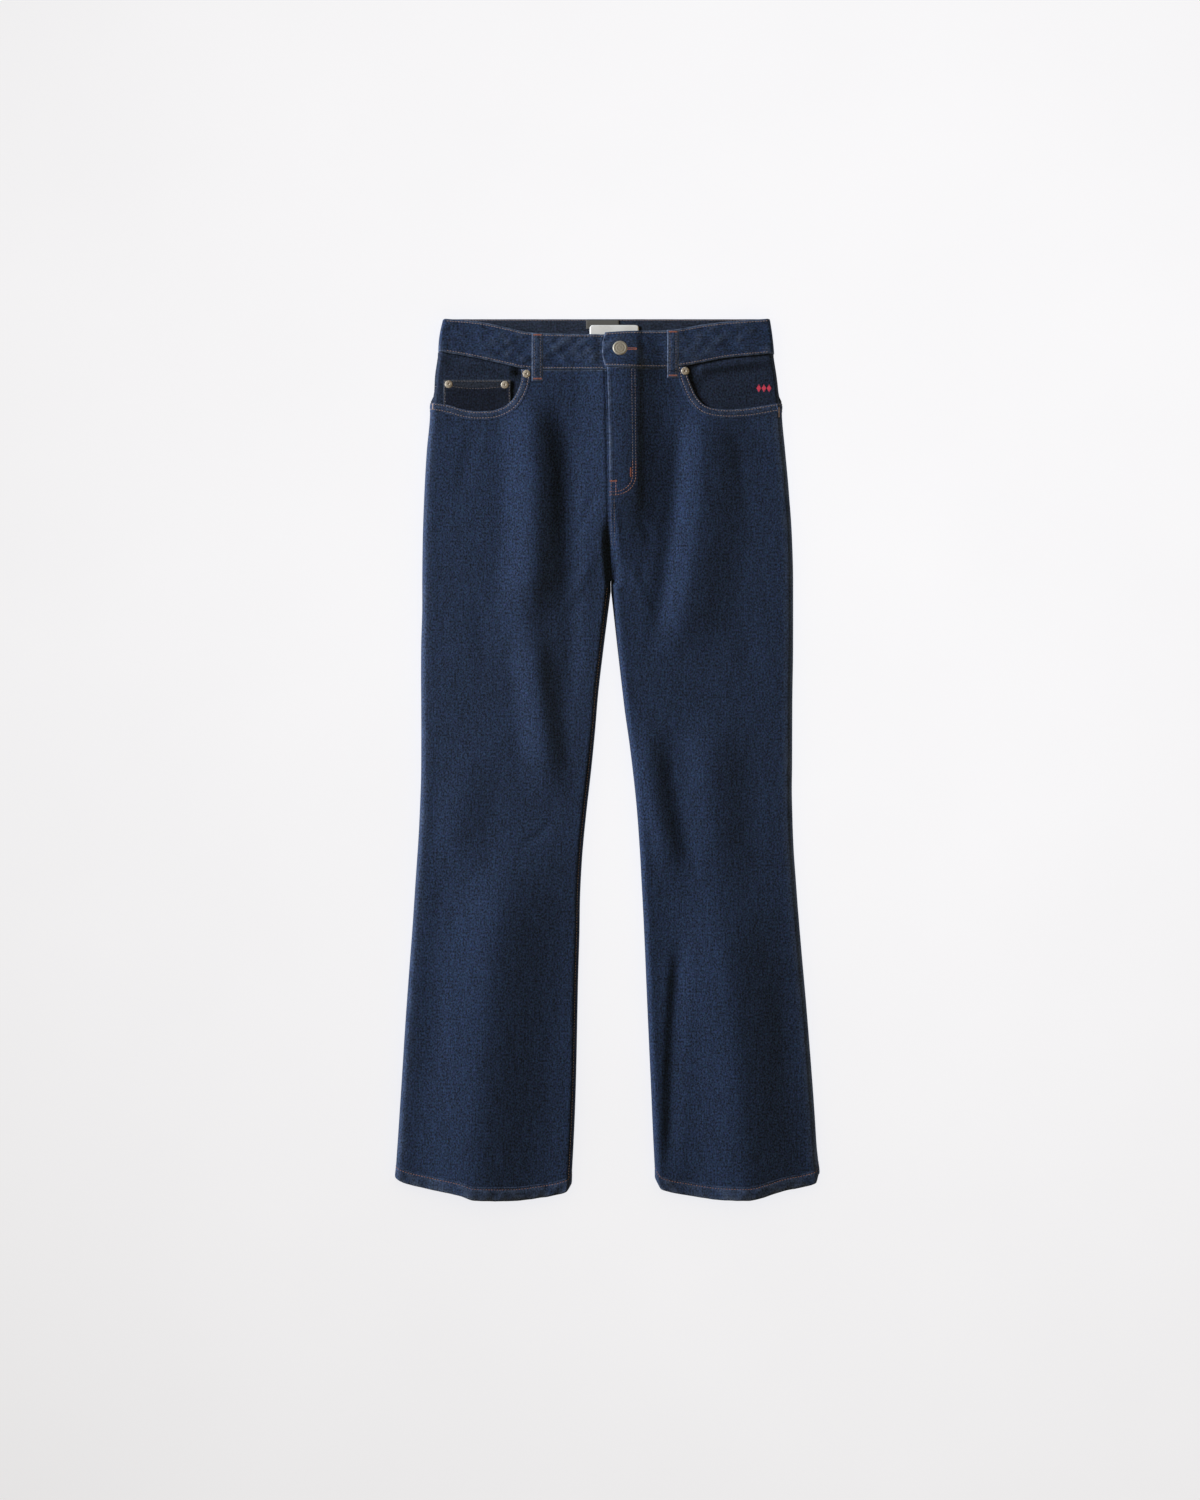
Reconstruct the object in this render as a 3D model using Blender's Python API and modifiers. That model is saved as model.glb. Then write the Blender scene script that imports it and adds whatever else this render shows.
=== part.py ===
"""Bootcut jeans laid flat with the front up.

Sizes are in millimetres and become metres where meshes are made. X runs to the wearer's left,
Y to the waist and Z up from the surface that the jeans lie on. "down" is the distance below
the top edge of the back waistband, and "level" is a distance out from the front panels'
outer surface. The wearer's right leg is at -X.
"""
import math

import bmesh
import bpy
import numpy as np
from mathutils import Vector

MM = 0.001
SIDES = {"right": -1, "left": 1}

# Lengths along the body, measured down from the back waist edge.
LENGTH = 997.4
CROTCH = 298.0
HEM_EDGE = 973.0
PANEL_TOP = 42.0
HALF_LENGTH = LENGTH / 2

# Cloth.
CLOTH = 1.2
BAND_CLOTH = 2.4
LOOP_CLOTH = 1.8
LABEL_CLOTH = 1.0
GAP = 0.3
RIM_GAP = 0.4
LAYER = CLOTH + GAP
POCKET_LAYER = CLOTH + 0.55

# How far the front stands over the surface beneath it, and how it rolls at its edges.
SEAT_HEIGHT = 13.5
LEG_HEIGHT = 12.0
EDGE_ROLL = 8.0
BAND_ROLL = 6.0
ROLL_ANGLES = (0, 12, 38, 64, 90)

# How far the waist seam and the hem bend the rows of a panel, how many columns a panel has
# between its rolled edges, and the columns that keep their distance from the inner seam.
WAIST_BEND = 120.0
HEM_BEND = 130.0
MIDDLE_COLUMNS = 9
NEAR_INNER = (20.0, 32.0, 42.0)
BACK_COLUMNS = 12
BACK_BEND = 0.4
ROLL_ABOVE_CROTCH = 20.0

# The back is lifted by its pockets and loops, and lies on the ground from the thighs down.
SEAT_LIFT = CLOTH + GAP
LIFT_END = 330.0
LIFT_GONE = 430.0

# Waistband, yoke, fly and hem.
BAND_HEIGHT = 37.4
YOKE_SIDE = 38.0
YOKE_CENTRE = 72.0
FLY_LIFT = 1.6
FLY_WIDTH = 34.0
FLY_FADE = 8.0
FLY_END = 201.0
SEAM_LAP = (12.0, 18.0)
SEAM_LAP_START = 24.0
SEAM_LAP_END = (28.0, 6.0)
UNDERLAP = 32.0
UNDERLAP_DROP = 1.3
UNDERLAP_STEP = (-16.0, -6.5)
UNDERLAP_NARROWS = (0.0, 12.0)
UNDERLAP_IN = 1.5
BAND_COLUMNS = 15
END_BULGE = 3.4
TURN_UP = 13.0
ZIP_X = (-2.0, 26.0)
ZIP_DOWN = (63.0, 200.0)
SHIELD_X = (-6.0, 38.0)
SHIELD_DOWN = (63.0, 214.0)

# Pockets.
MOUTH_PAST = 40.0
MOUTH_CUT = (-5.0, 60.0)
COIN_X = (-184.1, -108.1)
COIN_DOWN = (69.8, 127.0)
FACING_END = 135.0
FACING_INNER = 82.0
FACING_SINKS = (-4.0, 15.0)
FACING_CLEARS = (100.0, 112.0)
DRAWN_IN = (84.0, 96.0)
COIN_LEVEL = -POCKET_LAYER
FACING_LEVEL = {"right": -2 * POCKET_LAYER, "left": -POCKET_LAYER - 0.5}
BACK_POCKET_CENTRE = 106.0
BACK_POCKET_TOP = 122.0
BACK_POCKET_WIDTH = 148.0
BACK_POCKET_HEIGHT = 158.0
BACK_POCKET_POINT = 24.0
BACK_POCKET_TAPER = 6.0

# Trim.
LOOP_WIDTH = 13.0
LOOP_LENGTH = 54.0
LOOP_ARCH = 1.2
LOOP_STEP = (1.5, 6.5)
LOOP_X = {"right": -77.9, "left": 75.1}
BACK_LOOP_X = {"right": -118.0, "centre": 1.5, "left": 118.0}
LABEL_X = (-18.9, 36.7)
LABEL_DOWN = (7.0, 44.0)
BUTTON_X = 15.3
BUTTON_DOWN = 35.9
RIVETS = {
    "rivet_1": ("right", -90.1, 63.4, 0.0),
    "rivet_2": ("right", -178.2, 75.0, COIN_LEVEL),
    "rivet_3": ("right", -114.7, 75.5, COIN_LEVEL),
    "rivet_4": ("left", 88.9, 60.2, 0.0),
}
BUTTON_PROFILE = (
    (0.0, 3.3), (4.6, 3.3), (5.2, 3.7), (7.0, 4.0), (8.1, 3.6),
    (8.5, 2.8), (8.1, 2.0), (5.0, 1.5), (4.4, 0.0), (0.0, 0.0),
)
RIVET_PROFILE = (
    (0.0, 1.9), (1.3, 1.8), (2.0, 1.2), (3.2, 1.3), (4.4, 0.9), (4.7, 0.0), (0.0, 0.0),
)

# Sections across the garment: where the four seams lie, from the hips to the hems.
SECTION_COLUMNS = ("down", "right_outer", "right_inner", "left_inner", "left_outer")
SECTIONS = (
    (42, -193.2, 0.2, 0.2, 192.0),
    (82, -198.3, 1.3, 1.3, 197.0),
    (115, -199.6, 2.2, 2.2, 198.6),
    (149, -202.8, 3.1, 3.1, 201.4),
    (201, -205.6, 3.6, 3.6, 206.3),
    (250, -207.5, 4.4, 4.4, 208.8),
    (298, -208.5, 5.1, 5.1, 209.6),
    (370, -209.3, -4.0, 11.9, 209.6),
    (437, -208.9, -11.9, 19.8, 208.8),
    (505, -209.3, -18.5, 28.2, 208.6),
    (573, -211.9, -25.0, 35.3, 209.8),
    (641, -216.4, -29.6, 40.4, 213.2),
    (709, -220.9, -32.2, 43.5, 218.4),
    (776, -225.4, -33.6, 46.2, 224.3),
    (844, -229.9, -35.0, 49.2, 230.0),
    (912, -234.5, -37.2, 52.5, 235.4),
    (973, -238.6, -40.1, 55.9, 239.0),
    (1000, -240.4, -41.3, 57.5, 240.8),
)

# Edges that cross a side, as x and down.
BAND_EDGE = {
    "right": ((-184.2, 0.8), (-145, 4.4), (-110, 11.5), (-89, 16.2), (-73, 17.5), (-3, 18.6)),
    "left": ((-1.7, 16.5), (27, 14.8), (67, 14.4), (85, 12.2), (108, 7.9), (130, 5.0), (184.8, 0.8)),
}
WAIST_SEAM = {
    "right": ((-189.7, 37.9), (-165, 42), (-139, 47.1), (-110, 53.6), (-95, 57), (-73, 58.6), (0, 59.2)),
    "left": ((0, 55.9), (36, 57.2), (69, 56.7), (85, 54.8), (108, 50.7), (137, 45.2), (189.7, 40.4)),
}
HEM = {
    "right": ((-239, 973), (-228, 978), (-198, 985), (-164, 991.5), (-149, 996.3), (-107, 997.4),
              (-72, 994), (-45, 987.7), (-40, 981)),
    "left": ((55.5, 975), (62, 985), (92, 991.7), (130, 996.3), (157.6, 996.6), (200, 986.4),
             (237, 978), (240, 969)),
}
POCKET_MOUTH = {
    "right": ((-96.6, 57), (-95.9, 67), (-98.9, 79.2), (-106, 92.2), (-115.5, 100.1), (-129.7, 104.9),
              (-145.7, 105.7), (-161.5, 103.6), (-177.3, 98.9), (-197.2, 95.4)),
    "left": ((90, 54), (92.1, 65.5), (96.4, 77.7), (102.2, 89.3), (112.3, 99.4), (125.2, 102.9),
             (136.8, 103.7), (158.4, 102.3), (177.2, 99.4), (197, 95.8)),
}

# Folds: the line runs through three places, each side has its own width, "keen" is 0 for a round
# fold and 1 for a crease, and the two fades are how softly it starts and ends.
FOLD_COLUMNS = ("name", "x0", "down0", "x1", "down1", "x2", "down2",
                "wide_right", "wide_left", "rise", "keen", "fade_in", "fade_out")
FOLD_ROWS = (
    ("fly", 17, 0, 18, 160, 8, 300, 58, 54, 6.5, 0.0, 60, 90),
    ("right_pocket_to_thigh", -88, 72, -81, 215, -93, 370, 42, 38, 8.0, 0.3, 60, 80),
    ("right_inner_thigh", -90, 320, -76, 430, -60, 560, 34, 28, 6.0, 0.2, 80, 90),
    ("right_crotch_trough", -46, 110, -41, 260, -42, 470, 20, 20, -1.6, 0.2, 60, 90),
    ("right_shin", -102, 560, -136, 800, -149, 1010, 74, 88, 10.0, 0.6, 130, 1),
    ("right_knee", -150, 470, -165, 560, -168, 660, 36, 44, 2.5, 0.0, 80, 80),
    ("left_pocket_to_thigh", 108, 78, 104, 240, 74, 400, 32, 62, 6.0, 0.3, 60, 80),
    ("left_crotch_trough", 81, 105, 73, 240, 50, 385, 18, 16, -1.6, 0.2, 60, 80),
    ("left_inner_knee", 44, 440, 50, 520, 84, 650, 24, 28, 5.0, 0.1, 70, 70),
    ("left_knee", 116, 430, 120, 540, 128, 680, 40, 50, 5.0, 0.1, 80, 100),
    ("left_shin", 122, 600, 143, 790, 158, 1010, 66, 78, 9.5, 0.6, 130, 1),
    ("left_shin_trough", 84, 690, 74, 830, 72, 975, 12, 20, -2.5, 0.3, 60, 60),
)
FOLDS = [dict(zip(FOLD_COLUMNS, row)) for row in FOLD_ROWS]
CREASE_ROUNDING = 0.1


# ---------------------------------------------------------------- sizes and curves

def smoothstep(low, high, value):
    """Rise from 0 to 1 between low and high."""
    t = np.clip((np.asarray(value, float) - low) / (high - low), 0, 1)
    return t * t * (3 - 2 * t)


def through(points, at):
    """Read a smooth curve through (place, value) points, with no overshoot."""
    places, values = np.asarray(points, float).T
    at = np.clip(np.asarray(at, float), places[0], places[-1])
    steps = np.diff(places)
    slopes = np.diff(values) / steps
    tangents = np.concatenate(([slopes[0]], np.zeros(len(slopes) - 1), [slopes[-1]]))
    before = slopes[:-1]
    after = slopes[1:]
    same_way = before * after > 0
    tangents[1:-1][same_way] = 2 * (before * after)[same_way] / (before + after)[same_way]
    i = np.clip(np.searchsorted(places, at, side="right") - 1, 0, len(steps) - 1)
    t = (at - places[i]) / steps[i]
    start = (1 + 2 * t) * (1 - t) ** 2 * values[i] + t * (1 - t) ** 2 * steps[i] * tangents[i]
    end = t * t * (3 - 2 * t) * values[i + 1] + t * t * (t - 1) * steps[i] * tangents[i + 1]
    return start + end


def seam(column, down):
    """Where one of the long seams lies. The inner ones turn sharply at the crotch."""
    at = SECTION_COLUMNS.index(column)
    rows = [(row[0], row[at]) for row in SECTIONS]
    if column.endswith("outer"):
        return through(rows, down)
    centre = through([row for row in rows if row[0] <= CROTCH], down)
    inseam = through([row for row in rows if row[0] >= CROTCH], down)
    return np.where(np.asarray(down) <= CROTCH, centre, inseam)


def back_lift(down):
    """Height of the back cloth's underside."""
    return SEAT_LIFT * (1 - smoothstep(LIFT_END, LIFT_GONE, down))


def back_top(down):
    """Height of the back cloth's upper face."""
    return back_lift(down) + CLOTH


def fold_line(fold, down):
    """A fold's x at a distance down: a parabola through its three places."""
    d0, d1, d2 = fold["down0"], fold["down1"], fold["down2"]
    a = fold["x0"] * (down - d1) * (down - d2) / ((d0 - d1) * (d0 - d2))
    b = fold["x1"] * (down - d0) * (down - d2) / ((d1 - d0) * (d1 - d2))
    c = fold["x2"] * (down - d0) * (down - d1) / ((d2 - d0) * (d2 - d1))
    return a + b + c


def fold_rise(fold, x, down):
    """What one fold adds to the height."""
    start, end = fold["down0"], fold["down2"]
    away = x - fold_line(fold, np.clip(down, start, end))
    width = np.where(away < 0, fold["wide_right"], fold["wide_left"])
    across = np.clip(np.abs(away) / width, 0, 1)
    rounded = 0.5 + 0.5 * np.cos(math.pi * across)
    tent = 1 - np.sqrt(across ** 2 + CREASE_ROUNDING ** 2)
    crease = tent * (1 - across ** 2) / (1 - CREASE_ROUNDING)
    begins = smoothstep(start, start + fold["fade_in"], down)
    ends = 1 - smoothstep(end - fold["fade_out"], end, down)
    return fold["rise"] * begins * ends * ((1 - fold["keen"]) * rounded + fold["keen"] * crease)


def front_height(x, down):
    """Height of the front panels' outer surface, away from the edges."""
    x = np.asarray(x, float)
    down = np.asarray(down, float)
    height = SEAT_HEIGHT + (LEG_HEIGHT - SEAT_HEIGHT) * smoothstep(CROTCH, LIFT_GONE + 50, down)
    for fold in FOLDS:
        height = height + fold_rise(fold, x, down)
    return height


def lap_lift(side, x, down):
    """How far the left front stands over the right one: at the fly, then at the lapped seam."""
    if side == "right":
        return np.zeros_like(np.asarray(x, float))
    fly = FLY_LIFT * (1 - smoothstep(FLY_WIDTH, FLY_WIDTH + FLY_FADE, x))
    lap = FLY_LIFT / 2 * (1 - smoothstep(*SEAM_LAP, x))
    lap = lap * (1 - smoothstep(CROTCH - SEAM_LAP_END[0], CROTCH - SEAM_LAP_END[1], down))
    below_fly = smoothstep(FLY_END, FLY_END + SEAM_LAP_START, down)
    return fly * (1 - below_fly) + lap * below_fly


def rolled(distance, radius):
    """Share of the full height at a distance in from an outline."""
    inside = np.clip(np.asarray(distance, float) / radius, 0, 1)
    return np.sqrt(1 - (1 - inside) ** 2)


# ---------------------------------------------------------------- surfaces as grids of points

def grid(x, down, z):
    """Points in millimetres, as rows from the waist down and columns from -X to +X."""
    x, down, z = np.broadcast_arrays(x, down, z)
    return np.stack([x, HALF_LENGTH - down, z], axis=-1).astype(float)


def moved_out(points, level):
    """Move a surface out along its normals by a distance, or in where that is negative."""
    along_rows = np.gradient(points, axis=0)
    along_columns = np.gradient(points, axis=1)
    normals = np.cross(along_rows, along_columns)
    normals /= np.linalg.norm(normals, axis=2, keepdims=True)
    return points + normals * level


def column_distances(radius, round_share):
    """Distances in from an edge that rolls where round_share is 1 and stays flat where it is 0."""
    angles = np.radians(ROLL_ANGLES)
    even = angles / angles[-1]
    return radius * (even + (1 - np.cos(angles) - even) * np.asarray(round_share)[..., None])


def stations(first, last):
    """Row places along the leg, closer together round the crotch."""
    seat = np.linspace(first, CROTCH - 2 * EDGE_ROLL, 11)
    crotch = CROTCH + EDGE_ROLL * np.array((-1, 0, 1.1, 2.7))
    leg = np.linspace(CROTCH + 5.5 * EDGE_ROLL, last, 22)
    return np.concatenate((seat, crotch, leg))


def shaped_rows(side, rows, x):
    """Bend straight rows so that the first follows the waist seam and the last the hem."""
    top = through(WAIST_SEAM[side], x) + GAP - PANEL_TOP
    bottom = through(HEM[side], x) - HEM_EDGE
    near_top = 1 - smoothstep(PANEL_TOP, PANEL_TOP + WAIST_BEND, rows)
    near_bottom = smoothstep(HEM_EDGE - HEM_BEND, HEM_EDGE, rows)
    return rows + top * near_top + bottom * near_bottom


def panel_columns(side, rows):
    """x and distance in from both edges, for each row and column of one front panel."""
    outer = seam(side + "_outer", rows)
    inner = seam(side + "_inner", rows) + SIDES[side] * GAP / 2
    width = np.abs(outer - inner)
    below = smoothstep(CROTCH - ROLL_ABOVE_CROTCH, CROTCH, rows)
    from_outer = column_distances(EDGE_ROLL, np.ones_like(rows))
    from_inner = column_distances(EDGE_ROLL, below)
    from_inner = np.hstack((from_inner, np.tile(NEAR_INNER, (len(rows), 1))))
    share = np.linspace(0, 1, MIDDLE_COLUMNS + 2)[1:-1]
    first = from_outer[:, -1:]
    last = width[:, None] - from_inner[:, -1:]
    between = first + (last - first) * share
    across = np.hstack((from_outer, between, width[:, None] - from_inner[:, ::-1]))
    x = outer[:, None] - SIDES[side] * across
    return x, across, width[:, None] - across


def front_panel(side, rows):
    """The outer surface of a whole front panel, before its pocket mouth is cut."""
    x, from_outer, from_inner = panel_columns(side, rows)
    down = shaped_rows(side, rows[:, None], x)
    to_crotch = np.hypot(from_inner, np.maximum(CROTCH - down, 0))
    share = rolled(from_outer, EDGE_ROLL) * rolled(to_crotch, EDGE_ROLL)
    low = back_top(down) + RIM_GAP
    high = front_height(x, down) + lap_lift(side, x, down)
    points = grid(x, down, low + (high - low) * share)
    return points if side == "right" else points[:, ::-1]


def back_sheet(side, rows, top_rows, bottom_rows):
    """The upper face of a back piece between two sets of cross lines."""
    drawn_in = FACING_LEVEL[side] * (1 - smoothstep(*DRAWN_IN, rows))
    outer = (seam(side + "_outer", rows) + SIDES[side] * drawn_in)[:, None]
    inner = (seam(side + "_inner", rows) + SIDES[side] * GAP / 2)[:, None]
    x = outer + (inner - outer) * np.linspace(0, 1, BACK_COLUMNS)
    first, last = rows[0], rows[-1]
    bend = (last - first) * BACK_BEND
    near_top = 1 - smoothstep(first, first + bend, rows[:, None])
    near_bottom = smoothstep(last - bend, last, rows[:, None])
    down = rows[:, None] + (top_rows(x) - first) * near_top + (bottom_rows(x) - last) * near_bottom
    points = grid(x, down, back_top(down))
    return points if side == "right" else points[:, ::-1]


def plan_patch(x_range, down_range, columns, rows, level):
    """A patch that follows the front, set at a level below or above it."""
    x = np.linspace(x_range[0], x_range[1], columns)[None, :]
    down = np.linspace(down_range[0], down_range[1], rows)[:, None]
    x, down = np.broadcast_arrays(x, down)
    return moved_out(grid(x, down, front_height(x, down)), level)


def yoke_seam(x):
    """Distance down of the seam under the yoke."""
    towards_centre = 1 - np.abs(x) / SECTIONS[2][SECTION_COLUMNS.index("left_outer")]
    return BAND_HEIGHT + YOKE_SIDE + (YOKE_CENTRE - YOKE_SIDE) * towards_centre


# ---------------------------------------------------------------- meshes

def material(name, colour, roughness, metallic=0.0):
    """A plain Principled material."""
    made = bpy.data.materials.new(name)
    made.use_nodes = True
    shader = made.node_tree.nodes["Principled BSDF"]
    shader.inputs["Base Color"].default_value = (*colour, 1)
    shader.inputs["Roughness"].default_value = roughness
    shader.inputs["Metallic"].default_value = metallic
    return made


def denim(name):
    """Dark indigo denim for one piece."""
    return material(name + "_denim", (0.020, 0.029, 0.052), 0.9)


def brass(name):
    """Aged brass for one piece of trim."""
    return material(name + "_brass", (0.18, 0.16, 0.12), 0.45, 0.9)


def add_object(name, mesh, finish, smooth=True):
    """Put a mesh in the garment's collection under its piece's name."""
    made = bpy.data.objects.new(name, mesh)
    made.data.materials.append(finish)
    if smooth:
        mesh.shade_smooth()
    JEANS.objects.link(made)
    return made


def sheet(name, points, thickness, finish, closed=False):
    """Make a wall from the grid of its outer surface."""
    rows, columns = points.shape[:2]
    mesh = bpy.data.meshes.new(name)
    shape = bmesh.new()
    verts = [[shape.verts.new(Vector(p) * MM) for p in row] for row in points]
    for r in range(rows - 1):
        for c in range(columns if closed else columns - 1):
            d = (c + 1) % columns
            shape.faces.new((verts[r][c], verts[r + 1][c], verts[r + 1][d], verts[r][d]))
    shape.to_mesh(mesh)
    shape.free()
    made = add_object(name, mesh, finish)
    wall = made.modifiers.new("wall", "SOLIDIFY")
    wall.thickness = thickness * MM
    wall.offset = -1
    wall.use_even_offset = True
    wall.use_rim = True
    return made


def flat_mesh(name, outline, low, high):
    """A flat piece from its outline in x and down, between two heights."""
    curve = bpy.data.curves.new(name, "CURVE")
    curve.dimensions = "2D"
    curve.fill_mode = "BOTH"
    curve.extrude = (high - low) / 2 * MM
    line = curve.splines.new("POLY")
    line.points.add(len(outline) - 1)
    for point, (x, down) in zip(line.points, outline):
        point.co = (x * MM, (HALF_LENGTH - down) * MM, 0, 1)
    line.use_cyclic_u = True
    drawn = bpy.data.objects.new(name, curve)
    bpy.context.scene.collection.objects.link(drawn)
    bpy.context.view_layer.update()
    evaluated = drawn.evaluated_get(bpy.context.evaluated_depsgraph_get())
    mesh = bpy.data.meshes.new_from_object(evaluated)
    shape = bmesh.new()
    shape.from_mesh(mesh)
    bmesh.ops.remove_doubles(shape, verts=shape.verts, dist=1e-6)
    bmesh.ops.translate(shape, verts=shape.verts, vec=(0, 0, (high + low) / 2 * MM))
    bmesh.ops.recalc_face_normals(shape, faces=shape.faces)
    shape.to_mesh(mesh)
    shape.free()
    bpy.data.objects.remove(drawn)
    bpy.data.curves.remove(curve)
    mesh.name = name
    return mesh


def flat_piece(name, outline, low, thickness, finish):
    """A flat piece of cloth lying at a height."""
    return add_object(name, flat_mesh(name, outline, low, low + thickness), finish, smooth=False)


def rectangle(x_range, down_range):
    """Outline of a straight-sided piece."""
    return [(x_range[0], down_range[0]), (x_range[0], down_range[1]),
            (x_range[1], down_range[1]), (x_range[1], down_range[0])]


def turned(name, profile, steps, place, normal, finish):
    """A turned piece of metal trim, standing on the cloth."""
    mesh = bpy.data.meshes.new(name)
    points = [(x * MM, 0, z * MM) for x, z in profile]
    mesh.from_pydata(points, [(i, i + 1) for i in range(len(points) - 1)], [])
    made = add_object(name, mesh, finish)
    spin = made.modifiers.new("turn", "SCREW")
    spin.angle = math.tau
    spin.steps = steps
    spin.render_steps = steps
    spin.use_merge_vertices = True
    spin.merge_threshold = 1e-6
    made.location = Vector(place) * MM
    made.rotation_euler = Vector(normal).to_track_quat("Z", "Y").to_euler()
    return made


def surface_place(side, x, down, level):
    """A point over the front and the direction that the cloth faces there."""
    step = 2.0

    def height(at_x, at_down):
        return float(front_height(at_x, at_down) + lap_lift(side, at_x, at_down))

    slope_x = (height(x + step, down) - height(x - step, down)) / (2 * step)
    slope_y = (height(x, down - step) - height(x, down + step)) / (2 * step)
    normal = Vector((-slope_x, -slope_y, 1)).normalized()
    place = Vector((x, HALF_LENGTH - down, height(x, down))) + normal * level
    return place, normal


# ---------------------------------------------------------------- front

def mouth_outline(side, steps=28):
    """Outline of what is cut away over a pocket mouth, past the side and the waist seam."""
    points = POCKET_MOUTH[side]
    along = np.concatenate(([0], np.cumsum(np.hypot(*np.diff(np.array(points).T)))))
    t = np.linspace(0, along[-1], steps)
    x = through(list(zip(along, [p[0] for p in points])), t)
    down = through(list(zip(along, [p[1] for p in points])), t)
    beyond = SIDES[side] * MOUTH_PAST
    outline = list(zip(x, down))
    outline.append((x[-1] + beyond, down[-1] - 1))
    outline.append((x[-1] + beyond, down[0] - MOUTH_PAST))
    outline.append((x[0], down[0] - MOUTH_PAST))
    return outline


def make_front(side):
    """A front leg panel with its pocket mouth cut out."""
    name = "front_" + side
    panel = sheet(name, front_panel(side, stations(PANEL_TOP, HEM_EDGE)), CLOTH, denim(name))
    tool = flat_mesh(name + "_mouth", mouth_outline(side), *MOUTH_CUT)
    cutter = bpy.data.objects.new(name + "_mouth", tool)
    cutter.hide_render = True
    cutter.display_type = "WIRE"
    CUTTERS.objects.link(cutter)
    cut = panel.modifiers.new("mouth", "BOOLEAN")
    cut.operation = "DIFFERENCE"
    cut.solver = "EXACT"
    cut.object = cutter


def make_facing(side):
    """The cloth seen in a pocket mouth. It reaches the side seam and lies under the panel."""
    name = "facing_" + side
    rows = np.linspace(PANEL_TOP, FACING_END, 7)
    outer = seam(side + "_outer", rows)[:, None]
    roll = np.tile(column_distances(EDGE_ROLL, np.ones(1)), (len(rows), 1))
    width = np.abs(outer) - FACING_INNER
    flat = EDGE_ROLL + (width - EDGE_ROLL) * np.linspace(0, 1, MIDDLE_COLUMNS + 1)[1:]
    across = np.hstack((roll, flat))
    x = outer - SIDES[side] * across
    down = shaped_rows(side, rows[:, None], x)
    low = back_top(down) + RIM_GAP
    points = grid(x, down, low + (front_height(x, down) - low) * rolled(across, EDGE_ROLL))
    points = points if side == "right" else points[:, ::-1]
    to_seam = down - through(WAIST_SEAM[side], x)
    sunk = smoothstep(*FACING_SINKS, to_seam)
    under_panel = 1 - smoothstep(*FACING_CLEARS, np.abs(x))
    level = FACING_LEVEL[side] * np.maximum(sunk, under_panel)
    level = level if side == "right" else level[:, ::-1]
    inside = moved_out(points, level[..., None])
    inside[..., 1] = points[..., 1]
    rim = 0 if side == "right" else -1
    inside[:, rim, 2] = points[:, rim, 2]
    sheet(name, inside, CLOTH, denim(name))


def make_coin_pocket():
    """The small pocket on the right facing, which runs down under the panel."""
    points = plan_patch(COIN_X, COIN_DOWN, 9, 6, COIN_LEVEL)
    sheet("coin_pocket", points, CLOTH, denim("coin_pocket"))


def make_fly():
    """The zip and its shield behind the closed fly."""
    zip_points = plan_patch(ZIP_X, ZIP_DOWN, 5, 9, -LAYER)
    sheet("zip", zip_points, CLOTH, material("zip_tape", (0.03, 0.03, 0.04), 0.7))
    shield_points = plan_patch(SHIELD_X, SHIELD_DOWN, 6, 9, -2 * LAYER)
    sheet("fly_shield", shield_points, CLOTH, denim("fly_shield"))


# ---------------------------------------------------------------- waistband and loops

def band_level(side, x, down):
    """Height of the front waistband's outer face. The right end drops to pass under the left."""
    raised = front_height(x, down) + BAND_CLOTH - CLOTH + lap_lift(side, x, down)
    if side == "left":
        return raised
    return raised - UNDERLAP_DROP * smoothstep(*UNDERLAP_STEP, x)


def make_front_band(side):
    """Half of the front waistband, rolled at the side seam and lapped at the button."""
    name = "waistband_" + side
    rows = np.linspace(0, 1, 5)[:, None]
    outer_top = BAND_EDGE["right"][0][0] if side == "right" else BAND_EDGE["left"][-1][0]
    outer_seam = WAIST_SEAM["right"][0][0] if side == "right" else WAIST_SEAM["left"][-1][0]
    outer = outer_top + (outer_seam - outer_top) * rows
    if side == "right":
        end = np.full_like(outer, UNDERLAP)
    else:
        end = BAND_EDGE["left"][0][0] - END_BULGE * np.sin(math.pi * rows)
    width = np.abs(end - outer)
    roll = column_distances(BAND_ROLL, np.ones(1))
    share = np.linspace(0, 1, BAND_COLUMNS + 1)[1:]
    across = np.hstack((np.tile(roll, (len(rows), 1)), roll[0, -1] + (width - roll[0, -1]) * share))
    x = outer - SIDES[side] * across
    top = through(BAND_EDGE[side], x)
    bottom = through(WAIST_SEAM[side], x)
    if side == "right":
        hidden = smoothstep(*UNDERLAP_NARROWS, x)
        top = top + hidden * UNDERLAP_IN
        bottom = bottom - hidden * UNDERLAP_IN
    down = top + (bottom - top) * rows
    low = SEAT_LIFT + BAND_CLOTH + RIM_GAP
    points = grid(x, down, low + (band_level(side, x, down) - low) * rolled(across, BAND_ROLL))
    points = points if side == "right" else points[:, ::-1]
    sheet(name, points, BAND_CLOTH, denim(name))


def make_back_band():
    """The back of the waistband, flat, with its inner face up."""
    left, right = BAND_EDGE["left"][-1][0], BAND_EDGE["right"][0][0]
    low_left, low_right = WAIST_SEAM["left"][-1][0], WAIST_SEAM["right"][0][0]
    outline = [(right, 0), (low_right, BAND_HEIGHT), (low_left, BAND_HEIGHT), (left, 0)]
    flat_piece("waistband_back", outline, SEAT_LIFT, BAND_CLOTH, denim("waistband_back"))


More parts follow.
